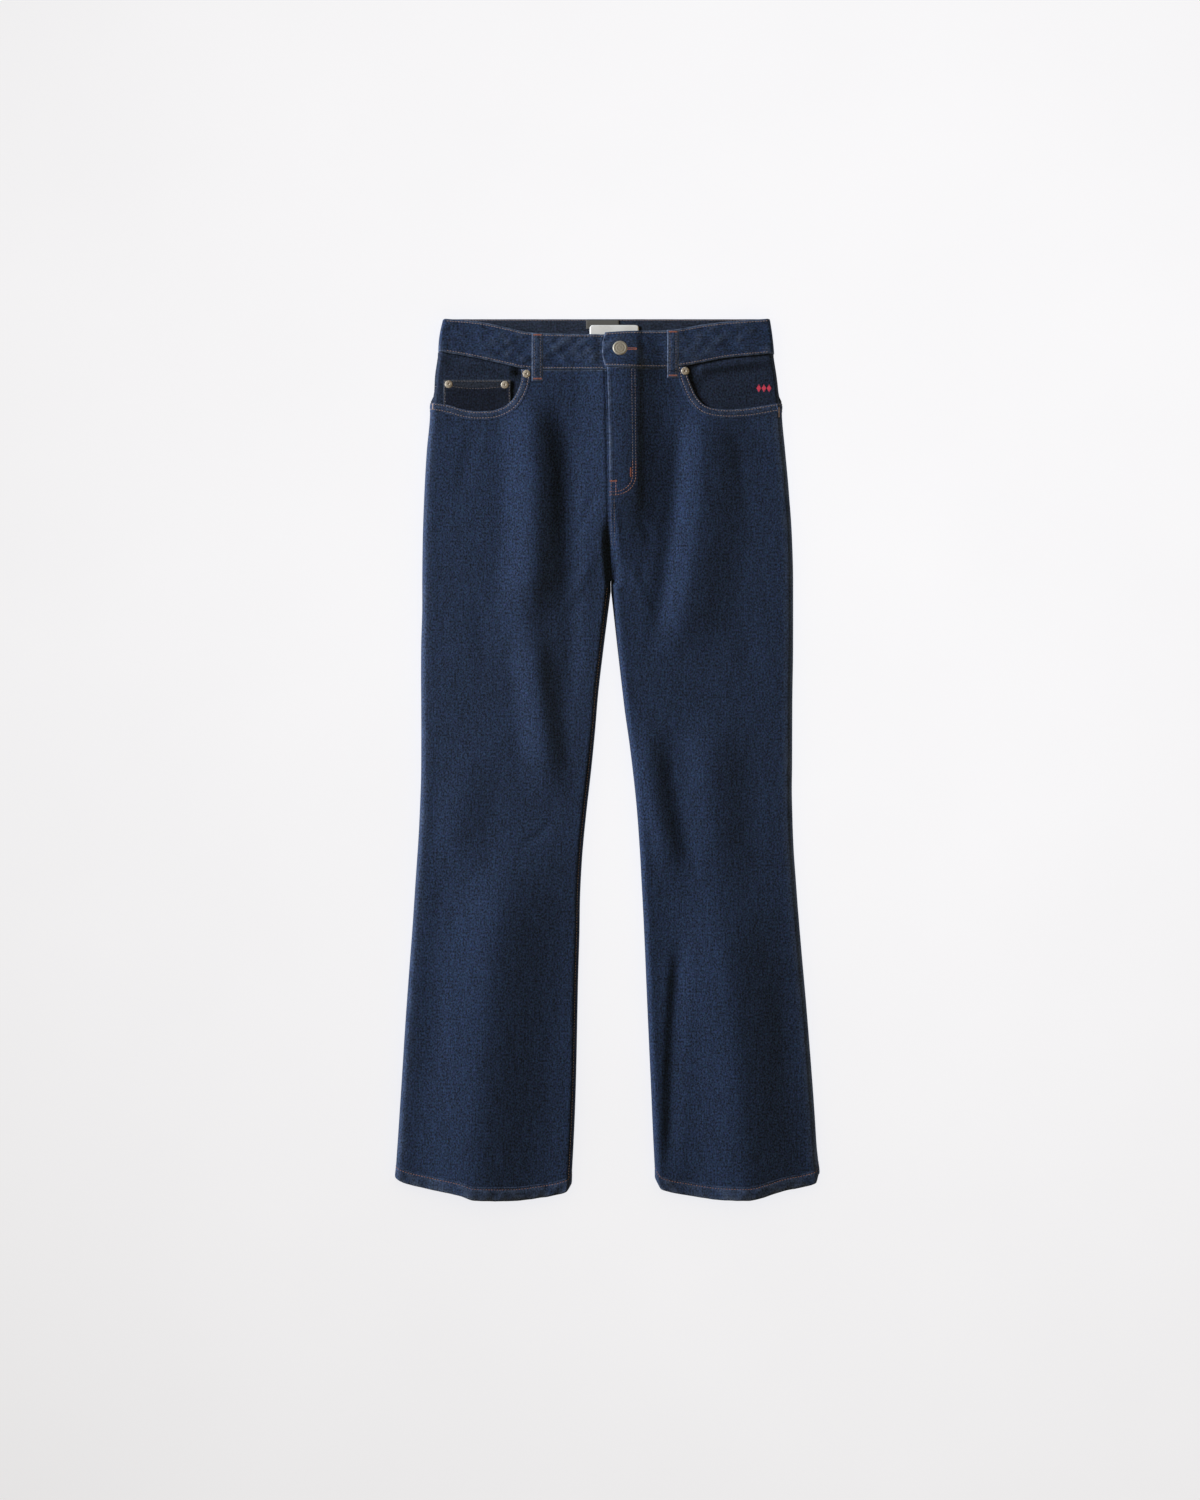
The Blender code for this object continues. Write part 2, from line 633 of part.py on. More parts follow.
def make_front_loop(side):
    """A belt loop: tacked at the waist edge and below the waist seam, and standing off between."""
    name = "loop_front_" + side
    centre = LOOP_X[side]
    start = float(through(BAND_EDGE[side], centre)) + GAP
    down = (start + np.linspace(0, LOOP_LENGTH, 15))[:, None]
    x = centre + LOOP_WIDTH * np.linspace(-0.5, 0.5, 4)[None, :]
    x, down = np.broadcast_arrays(x, down)
    seam_down = through(WAIST_SEAM[side], x)
    step_off = 1 - smoothstep(seam_down + LOOP_STEP[0], seam_down + LOOP_STEP[1], down)
    under = front_height(x, down) + (BAND_CLOTH - CLOTH) * step_off
    arch = LOOP_ARCH * np.sin(math.pi * (down - start) / LOOP_LENGTH) ** 2
    sheet(name, grid(x, down, under + 2 * GAP + LOOP_CLOTH + arch), LOOP_CLOTH, denim(name))


def make_back_loops():
    """Three belt loops flat under the back waistband."""
    for place, centre in BACK_LOOP_X.items():
        name = "loop_back_" + place
        outline = rectangle((centre - LOOP_WIDTH / 2, centre + LOOP_WIDTH / 2), (0, LOOP_LENGTH))
        flat_piece(name, outline, 0, CLOTH, denim(name))


# ---------------------------------------------------------------- back

def make_back(side):
    """A back leg panel and the yoke over it."""
    yoke_rows = np.linspace(BAND_HEIGHT + GAP, BAND_HEIGHT + YOKE_SIDE, 4)
    points = back_sheet(side, yoke_rows, lambda x: np.full_like(x, yoke_rows[0]), yoke_seam)
    sheet("yoke_" + side, points, CLOTH, denim("yoke_" + side))
    rows = np.concatenate((np.linspace(BAND_HEIGHT + YOKE_SIDE + GAP, DRAWN_IN[1], 3),
                           np.linspace(DRAWN_IN[1], CROTCH, 8)[1:],
                           np.linspace(CROTCH, HEM_EDGE, 18)[1:]))
    points = back_sheet(side, rows, lambda x: yoke_seam(x) + GAP, lambda x: through(HEM[side], x))
    sheet("back_" + side, points, CLOTH, denim("back_" + side))


def make_back_pocket(side):
    """A patch pocket, flat on the ground under the back panel."""
    name = "back_pocket_" + side
    centre = SIDES[side] * BACK_POCKET_CENTRE
    half = BACK_POCKET_WIDTH / 2
    low = BACK_POCKET_TOP + BACK_POCKET_HEIGHT
    low_half = half - BACK_POCKET_TAPER
    outline = [(centre - half, BACK_POCKET_TOP), (centre - low_half, low - BACK_POCKET_POINT),
               (centre, low), (centre + low_half, low - BACK_POCKET_POINT),
               (centre + half, BACK_POCKET_TOP)]
    flat_piece(name, outline, 0, CLOTH, denim(name))


# ---------------------------------------------------------------- hems and trim

def make_hem(side):
    """The cloth turned up inside a leg end, as a ring."""
    name = "hem_" + side
    rows = np.linspace(HEM_EDGE - 4 * TURN_UP, HEM_EDGE, 13)
    outside = front_panel(side, rows)
    inside = moved_out(outside, -LAYER)
    heights = np.linspace(TURN_UP, 0, 3) + 2 * GAP
    top = []
    for height in heights:
        down = through(HEM[side], outside[-1, :, 0]) - height
        line = []
        for column, at in enumerate(down):
            along = HALF_LENGTH - outside[:, column, 1]
            x = np.interp(at, along, inside[:, column, 0])
            z = np.interp(at, along, inside[:, column, 2])
            line.append((x, HALF_LENGTH - at, z))
        top.append(line)
    top = np.array(top)
    floor = CLOTH + GAP
    top[:, 0, 2] = floor
    top[:, -1, 2] = floor
    share = np.linspace(0, 1, 8)[1:-1]
    x = top[:, -1:, 0] + (top[:, :1, 0] - top[:, -1:, 0]) * share
    down = through(HEM[side], x) - heights[:, None]
    ring = np.concatenate((top, grid(x, down, floor)), axis=1)
    sheet(name, ring, CLOTH, denim(name), closed=True)


def make_trim():
    """Label, button and rivets."""
    flat_piece("label", rectangle(LABEL_X, LABEL_DOWN), SEAT_LIFT + BAND_CLOTH + GAP, LABEL_CLOTH,
               material("label_satin", (0.75, 0.75, 0.74), 0.5))
    place, normal = surface_place("left", BUTTON_X, BUTTON_DOWN, BAND_CLOTH - CLOTH + GAP)
    turned("button", BUTTON_PROFILE, 28, place, normal, brass("button"))
    for name, (side, x, down, level) in RIVETS.items():
        place, normal = surface_place(side, x, down, level + GAP)
        turned(name, RIVET_PROFILE, 18, place, normal, brass(name))


for old in list(bpy.data.objects):
    bpy.data.objects.remove(old)

JEANS = bpy.data.collections.new("Bootcut jeans")
CUTTERS = bpy.data.collections.new("Cutters")
bpy.context.scene.collection.children.link(JEANS)
bpy.context.scene.collection.children.link(CUTTERS)

for one_side in SIDES:
    make_front(one_side)
    make_facing(one_side)
    make_front_band(one_side)
    make_front_loop(one_side)
    make_back(one_side)
    make_back_pocket(one_side)
    make_hem(one_side)
make_coin_pocket()
make_fly()
make_back_band()
make_back_loops()
make_trim()
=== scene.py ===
"""Bootcut jeans laid flat with the front up: cloth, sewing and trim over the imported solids.

Sizes are in millimetres and become metres where meshes are made, in the solids' own frame: X runs
to the wearer's left, Y to the waist and Z up from the floor. "down" is the distance below the top
edge of the back waistband, and "level" is a distance out from a surface. The wearer's right leg
is at -X.
"""
import math

import bmesh
import bpy
import numpy as np
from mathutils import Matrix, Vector


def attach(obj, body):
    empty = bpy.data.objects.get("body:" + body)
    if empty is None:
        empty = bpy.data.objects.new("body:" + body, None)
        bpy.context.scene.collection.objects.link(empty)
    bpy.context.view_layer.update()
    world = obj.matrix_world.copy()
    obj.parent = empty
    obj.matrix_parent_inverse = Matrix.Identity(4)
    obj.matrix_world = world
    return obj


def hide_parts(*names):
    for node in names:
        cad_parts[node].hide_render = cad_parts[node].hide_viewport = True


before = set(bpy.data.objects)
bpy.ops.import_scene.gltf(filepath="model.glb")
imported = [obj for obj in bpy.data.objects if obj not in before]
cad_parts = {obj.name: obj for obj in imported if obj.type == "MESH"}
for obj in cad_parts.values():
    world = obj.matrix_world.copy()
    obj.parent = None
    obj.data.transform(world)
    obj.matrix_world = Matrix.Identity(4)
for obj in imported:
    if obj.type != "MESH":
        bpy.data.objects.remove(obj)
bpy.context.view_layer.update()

MM = 0.001
SIDES = {"right": -1, "left": 1}

# Lengths along the body, measured down from the back waist edge.
LENGTH = 997.4
CROTCH = 298.0
HEM_EDGE = 973.0
PANEL_TOP = 42.0
HALF_LENGTH = LENGTH / 2

# Cloth.
CLOTH = 1.2
BAND_CLOTH = 2.4
LOOP_CLOTH = 1.8
LABEL_CLOTH = 1.0
GAP = 0.3
RIM_GAP = 0.4
LAYER = CLOTH + GAP
POCKET_LAYER = CLOTH + 0.55

# How far the front stands over the surface beneath it, and how it rolls at its edges.
SEAT_HEIGHT = 13.5
LEG_HEIGHT = 12.0
EDGE_ROLL = 6.5
BAND_ROLL = 3.6
WAIST_BEND = 120.0
HEM_BEND = 130.0
ROLL_ABOVE_CROTCH = 20.0

# The back is lifted by its pockets and loops, and lies on the ground from the thighs down.
SEAT_LIFT = CLOTH + GAP
LIFT_END = 330.0
LIFT_GONE = 430.0

# Waistband, yoke, fly and hem.
BAND_HEIGHT = 37.4
YOKE_SIDE = 38.0
YOKE_CENTRE = 72.0
FLY_LIFT = 1.6
FLY_WIDTH = 34.0
FLY_FADE = 8.0
FLY_END = 201.0
SEAM_LAP = (12.0, 18.0)
SEAM_LAP_START = 24.0
SEAM_LAP_END = (28.0, 6.0)
UNDERLAP = 32.0
UNDERLAP_DROP = 1.3
UNDERLAP_STEP = (-16.0, -6.5)
UNDERLAP_NARROWS = (0.0, 12.0)
UNDERLAP_IN = 1.5
END_BULGE = 3.4
BAND_SWELL = {"right": 2.2, "left": 0.9}
TURN_UP = 13.0
ZIP_X = (-2.0, 26.0)
ZIP_DOWN = (63.0, 200.0)
SHIELD_X = (-6.0, 38.0)
SHIELD_DOWN = (63.0, 214.0)

# Pockets.
COIN_X = (-184.1, -108.1)
COIN_DOWN = (69.8, 127.0)
FACING_END = 135.0
FACING_INNER = 82.0
FACING_SINKS = (-4.0, 15.0)
FACING_CLEARS = (100.0, 112.0)
DRAWN_IN = (84.0, 96.0)
BACK_DRAWN_IN = 3.6
FACING_DRAWN_IN = ((42, 3.3), (64, 2.3), (82, 2.1), (98, 0.8), (110, 0.0), (140, 0.0))
COIN_LEVEL = -POCKET_LAYER
FACING_LEVEL = {"right": -2 * POCKET_LAYER, "left": -POCKET_LAYER - 0.5}
BACK_POCKET_CENTRE = 106.0
BACK_POCKET_TOP = 122.0
BACK_POCKET_WIDTH = 148.0
BACK_POCKET_HEIGHT = 158.0
BACK_POCKET_POINT = 24.0
BACK_POCKET_TAPER = 6.0

# Trim.
LOOP_WIDTH = 13.0
LOOP_LENGTH = 54.0
LOOP_ARCH = 0.8
LOOP_STEP = (1.5, 6.5)
LOOP_X = {"right": -77.9, "left": 75.1}
BACK_LOOP_X = {"right": -118.0, "centre": 1.5, "left": 118.0}
LABEL_X = (-18.9, 36.7)
LABEL_DOWN = (7.0, 44.0)
# The dark grey strip above the label.
STRIP_X = (-23.0, 14.0)
STRIP_DOWN = (1.0, 11.2)
BUTTON_X = 15.3
BUTTON_DOWN = 35.9
RIVETS = {
    "rivet_1": ("right", -90.1, 63.4, 0.0),
    "rivet_2": ("right", -178.2, 75.0, COIN_LEVEL),
    "rivet_3": ("right", -114.7, 75.5, COIN_LEVEL),
    "rivet_4": ("left", 88.9, 60.2, 0.0),
}

# Sections across the garment: where the four seams lie, from the hips to the hems.
SECTION_COLUMNS = ("down", "right_outer", "right_inner", "left_inner", "left_outer")
SECTIONS = (
    (42, -193.2, 0.2, 0.2, 192.0),
    (82, -198.3, 1.3, 1.3, 197.0),
    (115, -199.6, 2.2, 2.2, 198.6),
    (149, -202.8, 3.1, 3.1, 201.4),
    (201, -205.6, 3.6, 3.6, 206.3),
    (250, -207.5, 4.4, 4.4, 208.8),
    (298, -208.5, 5.1, 5.1, 209.6),
    (370, -209.3, -4.0, 11.9, 209.6),
    (437, -208.9, -11.9, 19.8, 208.8),
    (505, -209.3, -18.5, 28.2, 208.6),
    (573, -211.9, -25.0, 35.3, 209.8),
    (641, -216.4, -29.6, 40.4, 213.2),
    (709, -220.9, -32.2, 43.5, 218.4),
    (776, -225.4, -33.6, 46.2, 224.3),
    (844, -229.9, -35.0, 49.2, 230.0),
    (912, -234.5, -37.2, 52.5, 235.4),
    (973, -238.6, -40.1, 55.9, 239.0),
    (1000, -240.4, -41.3, 57.5, 240.8),
)

# Small shifts in x, by distance down, that bring the visual cloth's seams to the photo's outline.
SEAM_EASE = {
    "right_outer": ((42, -1.4), (60, -1.6), (82, -0.5), (200, -0.9), (298, -0.3), (330, 0.2), (370, -0.7),
                    (420, -1.2), (480, -0.9), (573, -0.4), (680, -0.3), (740, -0.8), (800, -1.1),
                    (900, -0.9), (1000, -0.9)),
    "right_inner": ((298, 0.0), (370, 0.9), (420, 1.3), (470, 2.2), (510, 2.0), (560, 1.2), (610, 0.4),
                    (650, 0.5), (700, 1.4), (760, 1.0), (860, 1.0), (950, 0.6), (1000, 0.4)),
    "left_inner": ((298, 0.0), (370, 0.4), (440, 0.0), (480, 0.6), (530, 0.8), (600, 0.0), (640, -0.6),
                   (700, -0.3), (850, 0.0), (950, -0.5), (1000, -0.6)),
    "left_outer": ((42, 1.0), (82, 1.5), (112, 0.6), (150, 1.1), (200, 0.8), (230, 1.3), (298, 2.0),
                   (500, 2.0), (540, 1.3), (600, 1.4), (650, 2.0), (750, 2.2), (850, 1.9), (930, 1.5),
                   (973, 2.4), (1000, 2.6)),
}

# Edges that cross a side, as x and down.
BAND_EDGE = {
    "right": ((-184.2, 0.8), (-145, 4.4), (-110, 11.5), (-89, 16.2), (-73, 17.5), (-3, 18.6)),
    "left": ((-1.7, 16.5), (27, 14.8), (67, 14.4), (85, 12.2), (108, 7.9), (130, 5.0), (184.8, 0.8)),
}
WAIST_SEAM = {
    "right": ((-189.7, 37.9), (-165, 42), (-139, 47.1), (-110, 53.6), (-95, 57), (-73, 58.6), (0, 59.2)),
    "left": ((0, 55.9), (36, 57.2), (69, 56.7), (85, 54.8), (108, 50.7), (137, 45.2), (189.7, 40.4)),
}
HEM = {
    "right": ((-239, 973), (-228, 978), (-198, 985), (-164, 991.5), (-149, 996.3), (-107, 997.4),
              (-72, 994), (-45, 987.7), (-40, 981)),
    "left": ((55.5, 975), (62, 985), (92, 991.7), (130, 996.3), (157.6, 996.6), (200, 986.4),
             (237, 978), (240, 969)),
}
POCKET_MOUTH = {
    "right": ((-96.6, 57), (-95.9, 67), (-98.9, 79.2), (-106, 92.2), (-115.5, 100.1), (-129.7, 104.9),
              (-145.7, 105.7), (-161.5, 103.6), (-177.3, 98.9), (-197.2, 95.4)),
    "left": ((90, 54), (92.1, 65.5), (96.4, 77.7), (102.2, 89.3), (112.3, 99.4), (125.2, 102.9),
             (136.8, 103.7), (158.4, 102.3), (177.2, 99.4), (197, 95.8)),
}

# Folds: the line runs through three places, each side has its own width, "keen" is 0 for a round
# fold and 1 for a crease, and the two fades are how softly it starts and ends.
FOLD_COLUMNS = ("name", "x0", "down0", "x1", "down1", "x2", "down2",
                "wide_right", "wide_left", "rise", "keen", "fade_in", "fade_out")
FOLD_ROWS = (
    ("fly", 17, 0, 18, 160, 8, 300, 58, 54, 6.5, 0.0, 60, 90),
    ("right_pocket_to_thigh", -88, 72, -81, 215, -93, 370, 42, 38, 8.0, 0.3, 60, 80),
    ("right_inner_thigh", -90, 320, -76, 430, -60, 560, 34, 28, 6.0, 0.2, 80, 90),
    ("right_crotch_trough", -46, 110, -41, 260, -42, 470, 20, 20, -1.6, 0.2, 60, 90),
    ("right_shin", -102, 560, -136, 800, -149, 1010, 74, 88, 10.0, 0.6, 130, 1),
    ("right_knee", -150, 470, -165, 560, -168, 660, 36, 44, 2.5, 0.0, 80, 80),
    ("left_pocket_to_thigh", 108, 78, 104, 240, 74, 400, 32, 62, 6.0, 0.3, 60, 80),
    ("left_crotch_trough", 81, 105, 73, 240, 50, 385, 18, 16, -1.6, 0.2, 60, 80),
    ("left_inner_knee", 44, 440, 50, 520, 84, 650, 24, 28, 5.0, 0.1, 70, 70),
    ("left_knee", 116, 430, 120, 540, 128, 680, 40, 50, 5.0, 0.1, 80, 100),
    ("left_shin", 122, 600, 143, 790, 158, 1010, 66, 78, 9.5, 0.6, 130, 1),
    ("left_shin_trough", 84, 690, 74, 830, 72, 975, 12, 20, -2.5, 0.3, 60, 60),
)
# Smaller creases that only the visual cloth has, in the same columns.
CREASE_ROWS = (
    ("fly_gap", -1.4, 40, 1.4, 170, 3, 300, 4, 3, -0.9, 0.3, 10, 20),
    ("crotch_gap", 1, 215, 4, 265, 7, 300, 10, 13, -4.8, 0.3, 50, 1),
    ("right_fly_crease", -16, 190, -26, 230, -44, 262, 7, 9, -0.7, 0.5, 20, 30),
    ("left_fly_crease", 34, 214, 48, 246, 66, 268, 8, 8, -0.6, 0.5, 24, 24),
    ("right_crotch_ridge", -12, 250, -30, 300, -58, 345, 12, 14, 0.9, 0.3, 34, 40),
    ("left_crotch_ridge", 20, 256, 34, 300, 58, 350, 12, 12, 0.8, 0.3, 34, 40),
    ("right_hip_pull", -150, 112, -158, 160, -170, 220, 14, 18, -0.8, 0.2, 40, 60),
    ("left_hip_pull", 140, 112, 152, 170, 160, 235, 16, 14, -0.9, 0.2, 40, 70),
    ("right_thigh_dent", -150, 300, -140, 350, -138, 410, 22, 26, -0.9, 0.0, 50, 60),
    ("left_thigh_dent", 150, 320, 160, 380, 158, 450, 26, 24, -0.9, 0.0, 50, 70),
    ("right_knee_crease", -60, 560, -84, 590, -112, 606, 12, 14, -0.8, 0.3, 20, 20),
    ("left_knee_crease", 92, 640, 118, 668, 150, 682, 12, 16, -0.8, 0.3, 20, 20),
    ("right_calf_dent", -196, 720, -190, 800, -196, 880, 24, 20, -0.9, 0.1, 60, 70),
    ("left_calf_dent", 192, 730, 200, 810, 206, 900, 20, 24, -0.9, 0.1, 60, 70),
)
FOLDS = [dict(zip(FOLD_COLUMNS, row)) for row in FOLD_ROWS + CREASE_ROWS]
CREASE_ROUNDING = 0.1

# Grids of the visual cloth.
ROLL_STEPS = 9
PANEL_STEP = 3.2
NEAR_SEAM_STEP = 1.6
BACK_STEP = 6.0
BAND_STEP = 2.8
EDGE_ANGLES = (0, 30, 60)
EDGE_WEAR = 0.6
# Paler cloth along the outer seams: wear, and on the left side also painted light on its rolled edge, which
# faces away from the window.
SEAM_WEAR_AND_PAINTED_LIGHT = {"right": 0.2, "left": 0.42}
# Paler over the thighs, more on the right leg.
THIGH_LIGHTENING = {"right": 0.036, "left": 0.012}

# Sewing.
ROW_IN = 1.7
SECOND_ROW_IN = 7.6
BAND_ROW_IN = 2.5
FLY_ROWS = (28.2, 31.8)
STITCH = {"pitch": 3.1, "long": 2.5, "thick": 0.62}
TACK = {"pitch": 0.46, "long": 2.0, "thick": 0.46}
OVERLAP = 5.0
FLY_CURVE_START = 178.0
FLY_THREAD_CHANGES = (163.0, 166.0)
FLY_BOX_X = (5.4, 10.6)
MARK_CENTRES = (172.2, 178.0, 183.8)
MARK_WIDTH = 4.6
MARK_DOWN = 79.3
SIDE_TACKS = {"left": (194.8, 101, 112), "right": (-196.0, 97, 103)}


# ---------------------------------------------------------------- sizes and curves

def pairs(x, down):
    """Places as rows of x and distance down, either of which may be one number."""
    return np.stack(np.broadcast_arrays(x, down), axis=1)


def smoothstep(low, high, value):
    """Rise from 0 to 1 between low and high."""
    t = np.clip((np.asarray(value, float) - low) / (high - low), 0, 1)
    return t * t * (3 - 2 * t)


def through(points, at):
    """Read a smooth curve through (place, value) points, with no overshoot."""
    places, values = np.asarray(points, float).T
    at = np.clip(np.asarray(at, float), places[0], places[-1])
    steps = np.diff(places)
    slopes = np.diff(values) / steps
    tangents = np.concatenate(([slopes[0]], np.zeros(len(slopes) - 1), [slopes[-1]]))
    before = slopes[:-1]
    after = slopes[1:]
    same_way = before * after > 0
    tangents[1:-1][same_way] = 2 * (before * after)[same_way] / (before + after)[same_way]
    i = np.clip(np.searchsorted(places, at, side="right") - 1, 0, len(steps) - 1)
    t = (at - places[i]) / steps[i]
    start = (1 + 2 * t) * (1 - t) ** 2 * values[i] + t * (1 - t) ** 2 * steps[i] * tangents[i]
    end = t * t * (3 - 2 * t) * values[i + 1] + t * t * (t - 1) * steps[i] * tangents[i + 1]
    return start + end


def spaced(first, last, step):
    """Places from first to last, no further apart than a step."""
    return np.linspace(first, last, int(math.ceil(abs(last - first) / step)) + 1)


def uneven(x, down, size, seed):
    """A smooth random field between about -1 and 1, with waves of about a size."""
    chance = np.random.RandomState(seed)
    total = 0.0
    waves = 9
    for _ in range(waves):
        heading = chance.uniform(0, math.pi)
        wavelength = size * chance.uniform(0.7, 1.5)
        phase = chance.uniform(0, math.tau)
        along = np.asarray(x) * math.cos(heading) + np.asarray(down) * math.sin(heading)
        total = total + np.cos(along * math.tau / wavelength + phase)
    return total / math.sqrt(waves * 2)


def seam(column, down):
    """Where one of the long seams lies. The inner ones turn sharply at the crotch."""
    at = SECTION_COLUMNS.index(column)
    rows = [(row[0], row[at]) for row in SECTIONS]
    ease = through(SEAM_EASE[column], down)
    if column.endswith("outer"):
        return through(rows, down) + ease
    centre = through([row for row in rows if row[0] <= CROTCH], down)
    inseam = through([row for row in rows if row[0] >= CROTCH], down)
    return np.where(np.asarray(down) <= CROTCH, centre, inseam + ease)


def back_lift(down):
    """Height of the back cloth's underside."""
    return SEAT_LIFT * (1 - smoothstep(LIFT_END, LIFT_GONE, down))


def back_top(down):
    """Height of the back cloth's upper face."""
    return back_lift(down) + CLOTH


def fold_line(fold, down):
    """A fold's x at a distance down: a parabola through its three places."""
    d0, d1, d2 = fold["down0"], fold["down1"], fold["down2"]
    a = fold["x0"] * (down - d1) * (down - d2) / ((d0 - d1) * (d0 - d2))
    b = fold["x1"] * (down - d0) * (down - d2) / ((d1 - d0) * (d1 - d2))
    c = fold["x2"] * (down - d0) * (down - d1) / ((d2 - d0) * (d2 - d1))
    return a + b + c


def fold_rise(fold, x, down):
    """What one fold adds to the height."""
    start, end = fold["down0"], fold["down2"]
    away = x - fold_line(fold, np.clip(down, start, end))
    width = np.where(away < 0, fold["wide_right"], fold["wide_left"])
    across = np.clip(np.abs(away) / width, 0, 1)
    rounded = 0.5 + 0.5 * np.cos(math.pi * across)
    tent = 1 - np.sqrt(across ** 2 + CREASE_ROUNDING ** 2)
    crease = tent * (1 - across ** 2) / (1 - CREASE_ROUNDING)
    begins = smoothstep(start, start + fold["fade_in"], down)
    ends = 1 - smoothstep(end - fold["fade_out"], end, down)
    keen = fold["keen"] * smoothstep(20, 70, down)
    return fold["rise"] * begins * ends * ((1 - keen) * rounded + keen * crease)


def front_height(x, down):
    """Height of the front panels' outer surface, away from the edges."""
    x = np.asarray(x, float)
    down = np.asarray(down, float)
    height = SEAT_HEIGHT + (LEG_HEIGHT - SEAT_HEIGHT) * smoothstep(CROTCH, LIFT_GONE + 50, down)
    for fold in FOLDS:
        height = height + fold_rise(fold, x, down)
    broad = 0.25 * uneven(x, down * 0.55, 95, 3)
    fine = 0.07 * uneven(x, down * 0.7, 24, 8)
    return height + broad + fine


def lap_lift(side, x, down):
    """How far the left front stands over the right one: at the fly, then at the lapped seam."""
    if side == "right":
        return np.zeros_like(np.asarray(x, float))
    fly = FLY_LIFT * (1 - smoothstep(FLY_WIDTH, FLY_WIDTH + FLY_FADE, x))
    lap = FLY_LIFT / 2 * (1 - smoothstep(*SEAM_LAP, x))
    lap = lap * (1 - smoothstep(CROTCH - SEAM_LAP_END[0], CROTCH - SEAM_LAP_END[1], down))
    below_fly = smoothstep(FLY_END, FLY_END + SEAM_LAP_START, down)
    return fly * (1 - below_fly) + lap * below_fly


def rolled(distance, radius):
    """Share of the full height at a distance in from an outline."""
    inside = np.clip(np.asarray(distance, float) / radius, 0, 1)
    return np.sqrt(1 - (1 - inside) ** 2)


def left_to_right(side, columns):
    """Columns that start at a side seam, put in order from -X to +X."""
    return columns if side == "right" else columns[:, ::-1]


def yoke_seam(x):
    """Distance down of the seam under the yoke."""
    towards_centre = 1 - np.abs(x) / SECTIONS[2][SECTION_COLUMNS.index("left_outer")]
    return BAND_HEIGHT + YOKE_SIDE + (YOKE_CENTRE - YOKE_SIDE) * towards_centre


# ---------------------------------------------------------------- surfaces

def shaped_rows(side, rows, x):
    """Bend straight rows so that the first follows the waist seam and the last the hem."""
    top = through(WAIST_SEAM[side], x) + GAP - PANEL_TOP
    bottom = through(HEM[side], x) - HEM_EDGE
    near_top = 1 - smoothstep(PANEL_TOP, PANEL_TOP + WAIST_BEND, rows)
    near_bottom = smoothstep(HEM_EDGE - HEM_BEND, HEM_EDGE, rows)
    return rows + top * near_top + bottom * near_bottom


def straight_row(side, x, down):
    """The straight row that a place on a panel belongs to."""
    rows = np.asarray(down, float)
    for _ in range(6):
        rows = down - (shaped_rows(side, rows, x) - rows)
    return rows


def panel_height(side, x, down, from_outer, from_inner):
    """Height of a front panel's outer face, with its rolled edges."""
    to_crotch = np.hypot(from_inner, np.maximum(CROTCH - down, 0))
    share = rolled(from_outer, EDGE_ROLL) * rolled(to_crotch, EDGE_ROLL)
    low = back_top(down) + RIM_GAP
    to_hem = through(HEM[side], x) - down
    doubled = 1 - smoothstep(TURN_UP - 1.5, TURN_UP + 1, to_hem)
    dents = 0.1 + 0.42 * uneven(x + 0.7 * down, down * 0.3, 14, 62)
    pulled = 0.3 * np.exp(-((to_hem - TURN_UP) / 2.4) ** 2)
    raised = lap_lift(side, x, down) + doubled * dents - pulled
    return low + (front_height(x, down) + raised - low) * share


def front_surface(side, x, down):
    """Height of a front panel's outer face at any place on it."""
    rows = straight_row(side, x, down)
    outer = seam(side + "_outer", rows)
    inner = seam(side + "_inner", rows) + SIDES[side] * GAP / 2
    from_outer = np.maximum(SIDES[side] * (outer - x), 0)
    from_inner = np.maximum(SIDES[side] * (x - inner), 0)
    return panel_height(side, x, down, from_outer, from_inner)


def band_line(side, x, at):
    """Distance down of a line along the front waistband, from 0 at its top to 1 at its seam."""
    top = through(BAND_EDGE[side], x)
    bottom = through(WAIST_SEAM[side], x)
    if side == "right":
        hidden = smoothstep(*UNDERLAP_NARROWS, x)
        top = top + hidden * UNDERLAP_IN
        bottom = bottom - hidden * UNDERLAP_IN
    return top + (bottom - top) * at


def band_creases(x, down):
    """Soft diagonal creases across the waistband, in both directions."""
    one_way = uneven(x + 1.1 * down, down * 0.25, 26, 5)
    other_way = uneven(x - 0.9 * down, down * 0.25, 32, 15)
    across = uneven(x, down * 0.15, 22, 25)
    return 0.85 * np.abs(one_way) - 0.9 * np.abs(other_way) + 0.3 * across


def band_surface(side, x, down):
    """Height of the front waistband's outer face, away from its rolled end."""
    top = band_line(side, x, 0)
    bottom = band_line(side, x, 1)
    raised = front_height(x, down) + BAND_CLOTH - CLOTH + lap_lift(side, x, down)
    to_edge = np.minimum(down - top, bottom - down)
    puff = 0.45 * smoothstep(BAND_ROW_IN, BAND_ROW_IN + 6, to_edge) - 0.15
    ripple = 0.22 * uneven(x, down * 0.3, 11, 21) * (1 - smoothstep(3, 12, to_edge))
    slack = band_creases(x, down) * smoothstep(1, 9, to_edge)
    relief = puff + ripple + slack
    if side == "left":
        return raised + relief
    shown = 1 - smoothstep(UNDERLAP_STEP[0], UNDERLAP_STEP[1], x)
    return raised + relief * shown - UNDERLAP_DROP * (1 - shown)


def facing_relief(side, x, down):
    """The soft ridge of a pocket facing under the waistband, with the hollow below it."""
    below = down - through(WAIST_SEAM[side], x)
    ridge = 2.2 * np.exp(-((below - 8.5 - 0.03 * (np.abs(x) - 140)) / 4.0) ** 2)
    hollow = 1.1 * np.exp(-((below - 20 + 0.08 * (np.abs(x) - 140)) / 6.0) ** 2)
    relief = (ridge - hollow) * (0.75 + 0.5 * uneven(x, down, 38, 17)) * smoothstep(2, 6, below)
    return relief * smoothstep(100, 112, np.abs(x)) * (1 - smoothstep(86, 98, down))


def facing_surface(side, x, down):
    """Height of a pocket facing's outer face, away from the side seam."""
    return front_height(x, down) + FACING_LEVEL[side] + facing_relief(side, x, down)


